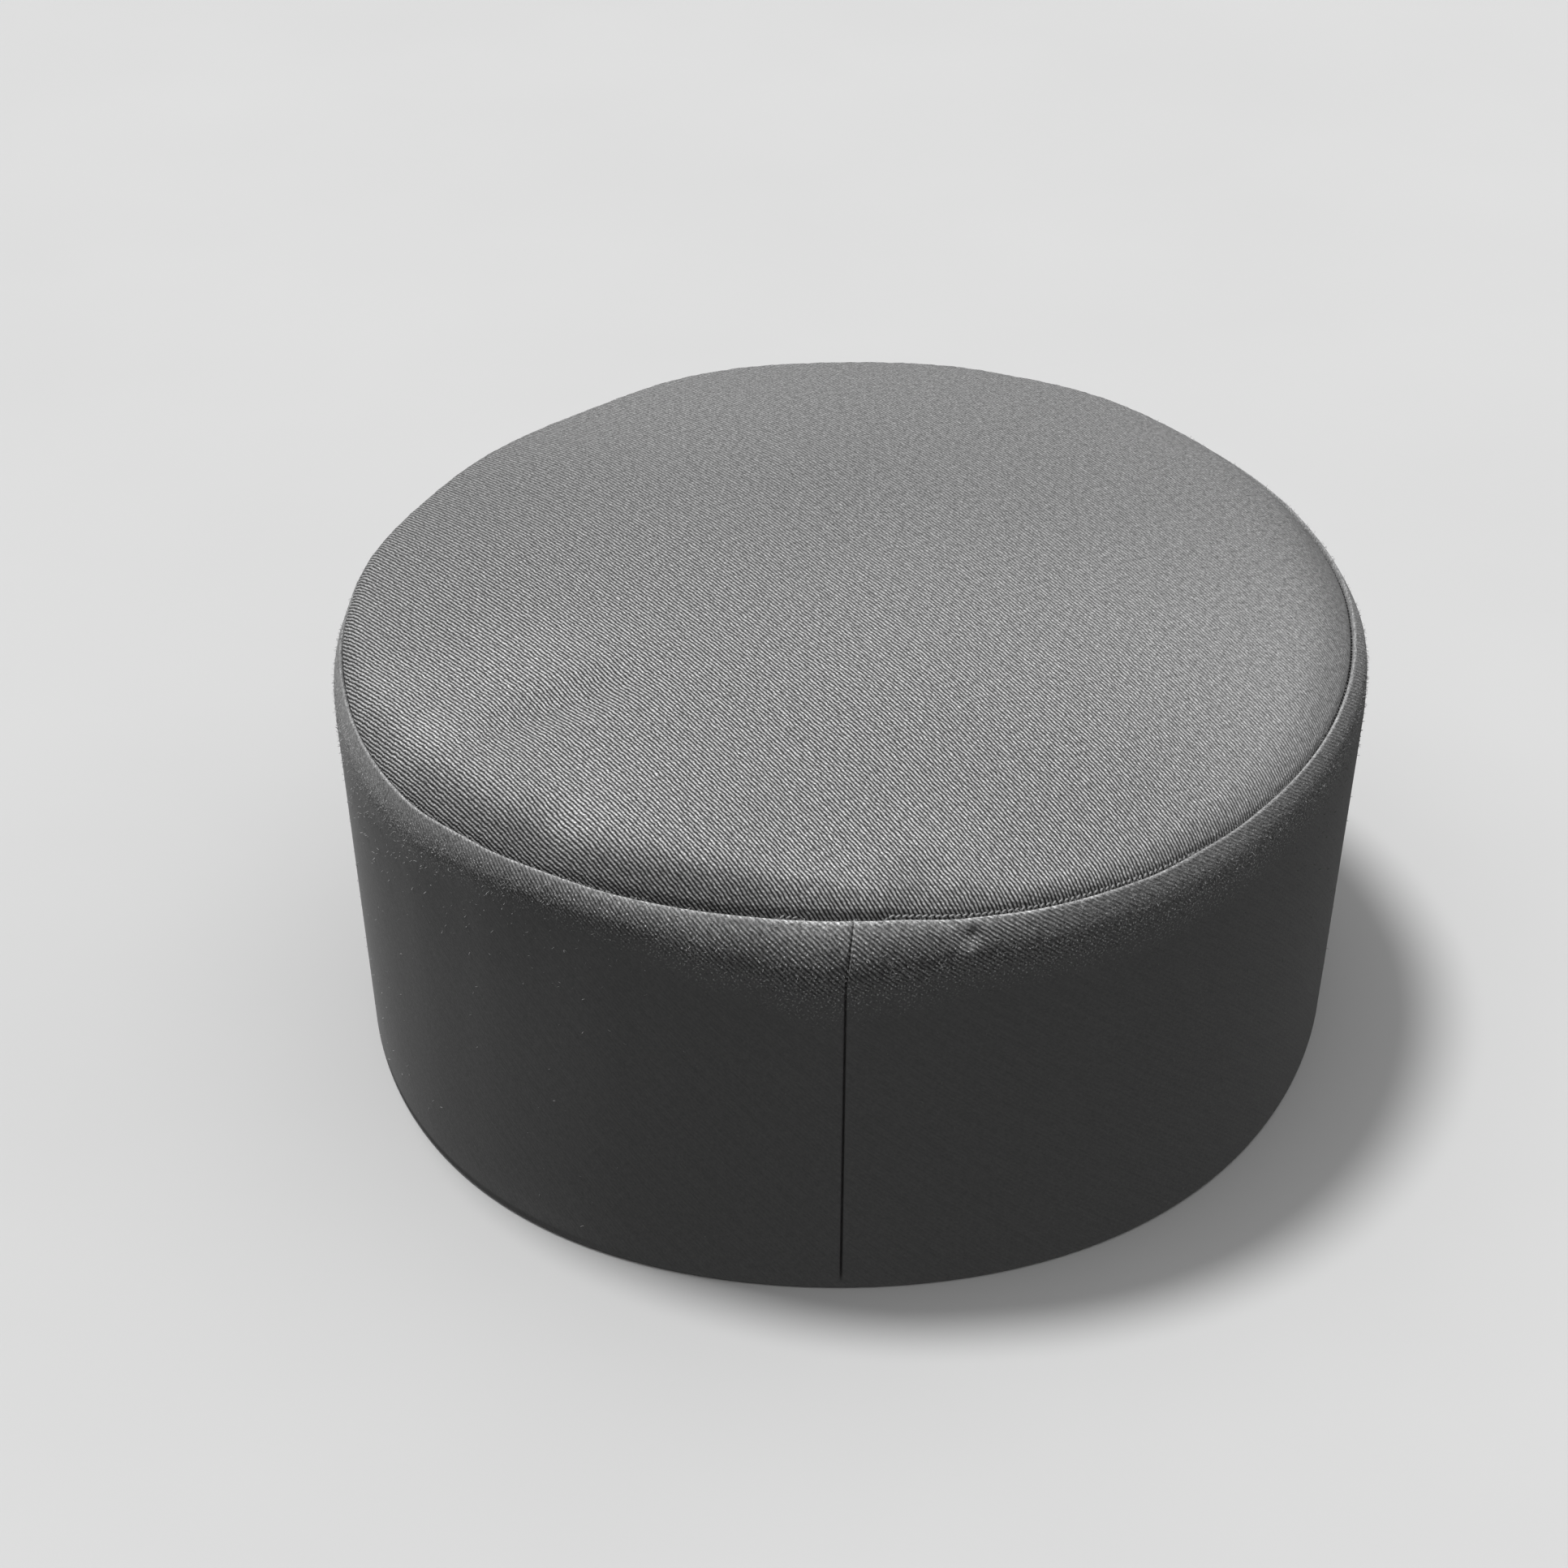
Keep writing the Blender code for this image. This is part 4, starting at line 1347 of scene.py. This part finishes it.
def make_camera():
    """The camera at the photograph's angle, distance and lens, with the cap as it falls there."""
    angles = (math.radians(angle) for angle in (CAMERA_TURN, CAMERA_HEIGHT, CAMERA_ROLL))
    right, up, back = look_basis(*angles)
    focal = FOCAL_PIXELS
    place = Vector(CAMERA_POINT) + back * CAMERA_DISTANCE
    off_x, off_y = (PHOTO_PIXELS / 2 - pixel for pixel in CAMERA_PIXEL)
    forward = (right * (off_x / focal) - up * (off_y / focal) - back).normalized()
    right = (right - forward * right.dot(forward)).normalized()
    data = bpy.data.cameras.new("camera")
    data.sensor_width = 36.0
    data.lens = focal / PHOTO_PIXELS * data.sensor_width
    data.clip_start = 0.02
    data.clip_end = 20.0
    camera = bpy.data.objects.new("camera", data)
    turn = Matrix((right, right.cross(forward), -forward)).transposed().to_4x4()
    camera.matrix_world = Matrix.Translation(place) @ turn
    bpy.context.scene.collection.objects.link(camera)
    bpy.context.scene.camera = camera


def make_floor(colour):
    """A plain pale floor that curves up into a low wall all round, so that no view sees its edge."""
    angles = 2 * math.pi * np.arange(FLOOR_COLUMNS) / FLOOR_COLUMNS
    profile = [(radius, 0.0) for radius in (0.5, 1.0, FLOOR_RADIUS)]
    for turn in np.linspace(0.1, 1.0, 10) * 0.5 * math.pi:
        profile.append((FLOOR_RADIUS + FLOOR_CURVE * math.sin(turn), FLOOR_CURVE * (1 - math.cos(turn))))
    profile.append((FLOOR_RADIUS + FLOOR_CURVE, 2 * FLOOR_CURVE))
    rings = []
    for radius, height in profile:
        level = np.full(FLOOR_COLUMNS, height - FLOOR_DROP)
        rings.append(np.stack([radius * np.cos(angles), radius * np.sin(angles), level], -1))
    floor = ringed_mesh("floor", rings, first_middle=np.array([0, 0, -FLOOR_DROP]))
    # Seamless background paper, matt, with the faint mottle of its pulp
    material, tree, shader = new_material("pale studio paper", Roughness=0.95, Specular_IOR_Level=0.1)
    add = partial(add_node, tree)
    place = add("ShaderNodeTexCoord").outputs["Object"]
    pulp = add(NOISE, Vector=place, Scale=9.0, Detail=3.0)
    tone = add(RANGE, CLAMPED, Value=pulp, **span(0.3, 0.7, 0.985, 1.015))
    tint = add(VECTOR_MATHS, SCALED, at_0=tuple(colour), Scale=tone)
    tree.links.new(tint.outputs[0], shader.inputs["Base Color"])
    floor.data.materials.append(material)
    # The paper sends no light up on the cap, as with a black card under it just outside the view
    floor.visible_diffuse = False
    return floor


def add_light(name, kind, place, settings):
    """A light at a place that looks at the cap's middle."""
    data = bpy.data.lights.new(name, kind)
    for setting, value in settings.items():
        setattr(data, setting, value)
    made = bpy.data.objects.new(name, data)
    made.location = place
    made.rotation_euler = (Vector(place) - Vector(LIT_POINT)).to_track_quat("Z", "Y").to_euler()
    bpy.context.scene.collection.objects.link(made)
    return made


def make_lights(stage, floor):
    """Studio light: a high key beyond the left, a weak rim light beyond the right, a dim surround."""
    add_light("key", "SUN", KEY_PLACE, {"energy": stage.key, "angle": stage.key_spread})
    add_light("rim", "AREA", RIM_PLACE, {"energy": stage.rim, "size": RIM_PANEL})
    # A wide soft wash for the paper only, so that the cap's shadow on it stays soft and pale
    wash = add_light("floor wash", "SUN", WASH_PLACE, {"energy": stage.wash, "angle": WASH_SPREAD})
    paper = bpy.data.collections.new("paper")
    paper.objects.link(floor)
    wash.light_linking.receiver_collection = paper
    world = bpy.data.worlds.new("studio surround")
    world.use_nodes = True
    sky = world.node_tree.nodes["Background"]
    sky.inputs["Color"].default_value = (1, 1, 1, 1)
    sky.inputs["Strength"].default_value = stage.surround
    bpy.context.scene.world = world


# Operators, one for each piece or group of like pieces


class CAP_OT_band(bpy.types.Operator):
    """Builds the stiff side band in twill."""

    bl_idname = "cap.band"
    bl_label = "Side band"

    def execute(self, context):
        scene = context.scene
        made = make_band()
        pitch = scene.cap_sizes.rib_pitch * BAND_RIB_SHARE
        made.data.materials.append(twill_material("pressed grey twill", pitch, scene.cap_colours))
        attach(made, "root")
        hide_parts("side_band")
        return {"FINISHED"}


class CAP_OT_crown(bpy.types.Operator):
    """Builds the domed crown panel in twill."""

    bl_idname = "cap.crown"
    bl_label = "Crown panel"

    def execute(self, context):
        scene = context.scene
        made = make_crown()
        made.data.materials.append(twill_material("grey twill", scene.cap_sizes.rib_pitch, scene.cap_colours))
        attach(made, "root")
        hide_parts("crown_top")
        return {"FINISHED"}


class CAP_OT_stitches(bpy.types.Operator):
    """Sews the crown to the band with stitches along the crease."""

    bl_idname = "cap.stitches"
    bl_label = "Seam stitches"

    def execute(self, context):
        sizes = context.scene.cap_sizes
        colour = context.scene.cap_colours.thread
        thread = yarn_material("spun polyester thread", colour, THREAD_GRAIN, crease_shade_share=SUNK_PAINTED_SHADE_SHARE)
        made = grown(
            "seam_stitches",
            seam_path(),
            stitch_tree(),
            {
                "Pitch": sizes.stitch_pitch,
                "Stitch length": sizes.stitch_length,
                "Thread thickness": sizes.thread_thickness,
                "Slant": STITCH_SLANT,
                "Seed": sizes.seed,
                "Material": thread,
            },
        )
        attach(made, "root")
        return {"FINISHED"}


class CAP_OT_fibres(bpy.types.Operator):
    """Grows the loose fibres of the folded edge and the lint on the band."""

    bl_idname = "cap.fibres"
    bl_label = "Loose fibres and lint"

    def execute(self, context):
        sizes = context.scene.cap_sizes
        tree = fibre_tree()
        fibre = yarn_material("loose cotton fibre", context.scene.cap_colours.fibre, FIBRE_GRAIN)
        steps = outer_rings()
        lip = [(part, share) for part, share in steps if part == "lip" and share > 0.5]
        shoulder = [(part, share) for part, share in steps if part == "shoulder"]
        wall = [(part, share) for part, share in steps if part == "wall"]
        edge_strip = nap_strip(lip + shoulder, edge_density)
        lint_strip = nap_strip(shoulder[LINT_FROM:] + wall, lint_density)
        edge = (sizes.fibre_density, sizes.fibre_length, 1.0, FIBRE_LEAN, sizes.seed)
        lint = (sizes.lint_density, sizes.lint_length, LINT_THICKER, LINT_LEAN, sizes.seed + 5)
        for name, strip, row in (("edge_fibres", edge_strip, edge), ("lint", lint_strip, lint)):
            density, length, thicker, lean, seed = row
            values = {
                "Density": density,
                "Fibre length": length,
                "Fibre thickness": sizes.fibre_thickness * thicker,
                "Lean": lean,
                "Seed": seed,
                "Material": fibre,
            }
            made = grown(name, strip, tree, values)
            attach(made, "root")
        return {"FINISHED"}


class CAP_OT_cloth_cut(bpy.types.Operator):
    """Does nothing: no cut sizes of the cloth are stated here."""

    bl_idname = "cap.cloth_cut"
    bl_label = "Cut sizes of the cloth"

    def execute(self, context):
        return {"FINISHED"}


class CAP_OT_stage(bpy.types.Operator):
    """Sets the floor, the lights, the camera and the surround."""

    bl_idname = "cap.stage"
    bl_label = "Stage"

    def execute(self, context):
        stage = context.scene.cap_stage
        make_lights(stage, make_floor(stage.floor))
        make_camera()
        context.scene.view_settings.view_transform = "Standard"
        return {"FINISHED"}


class CAP_PT_panel(bpy.types.Panel):
    """Buttons and sizes of the prayer cap in the 3D view's sidebar."""

    bl_idname = "CAP_PT_panel"
    bl_label = "Prayer cap"
    bl_space_type = "VIEW_3D"
    bl_region_type = "UI"
    bl_category = "Prayer cap"

    def draw(self, context):
        for group in (context.scene.cap_sizes, context.scene.cap_colours, context.scene.cap_stage):
            box = self.layout.box()
            for name in group.bl_rna.properties.keys():
                if name not in ("rna_type", "name"):
                    box.prop(group, name)
        for operator in OPERATORS:
            self.layout.operator(operator.bl_idname)


OPERATORS = (CAP_OT_stage, CAP_OT_band, CAP_OT_crown, CAP_OT_stitches, CAP_OT_fibres, CAP_OT_cloth_cut)
CLASSES = (CapSizes, CapColours, CapStage, *OPERATORS, CAP_PT_panel)


def register():
    """Registers the classes and hangs their settings on the scene."""
    for made in CLASSES:
        bpy.utils.register_class(made)
    bpy.types.Scene.cap_sizes = PointerProperty(type=CapSizes)
    bpy.types.Scene.cap_colours = PointerProperty(type=CapColours)
    bpy.types.Scene.cap_stage = PointerProperty(type=CapStage)


def unregister():
    """Takes the settings and the classes away again."""
    del bpy.types.Scene.cap_sizes
    del bpy.types.Scene.cap_colours
    del bpy.types.Scene.cap_stage
    for made in reversed(CLASSES):
        bpy.utils.unregister_class(made)


def main():
    """Registers the add-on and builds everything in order."""
    register()
    for operator in OPERATORS:
        module, name = operator.bl_idname.split(".")
        getattr(getattr(bpy.ops, module), name)()


if __name__ == "__main__":
    main()
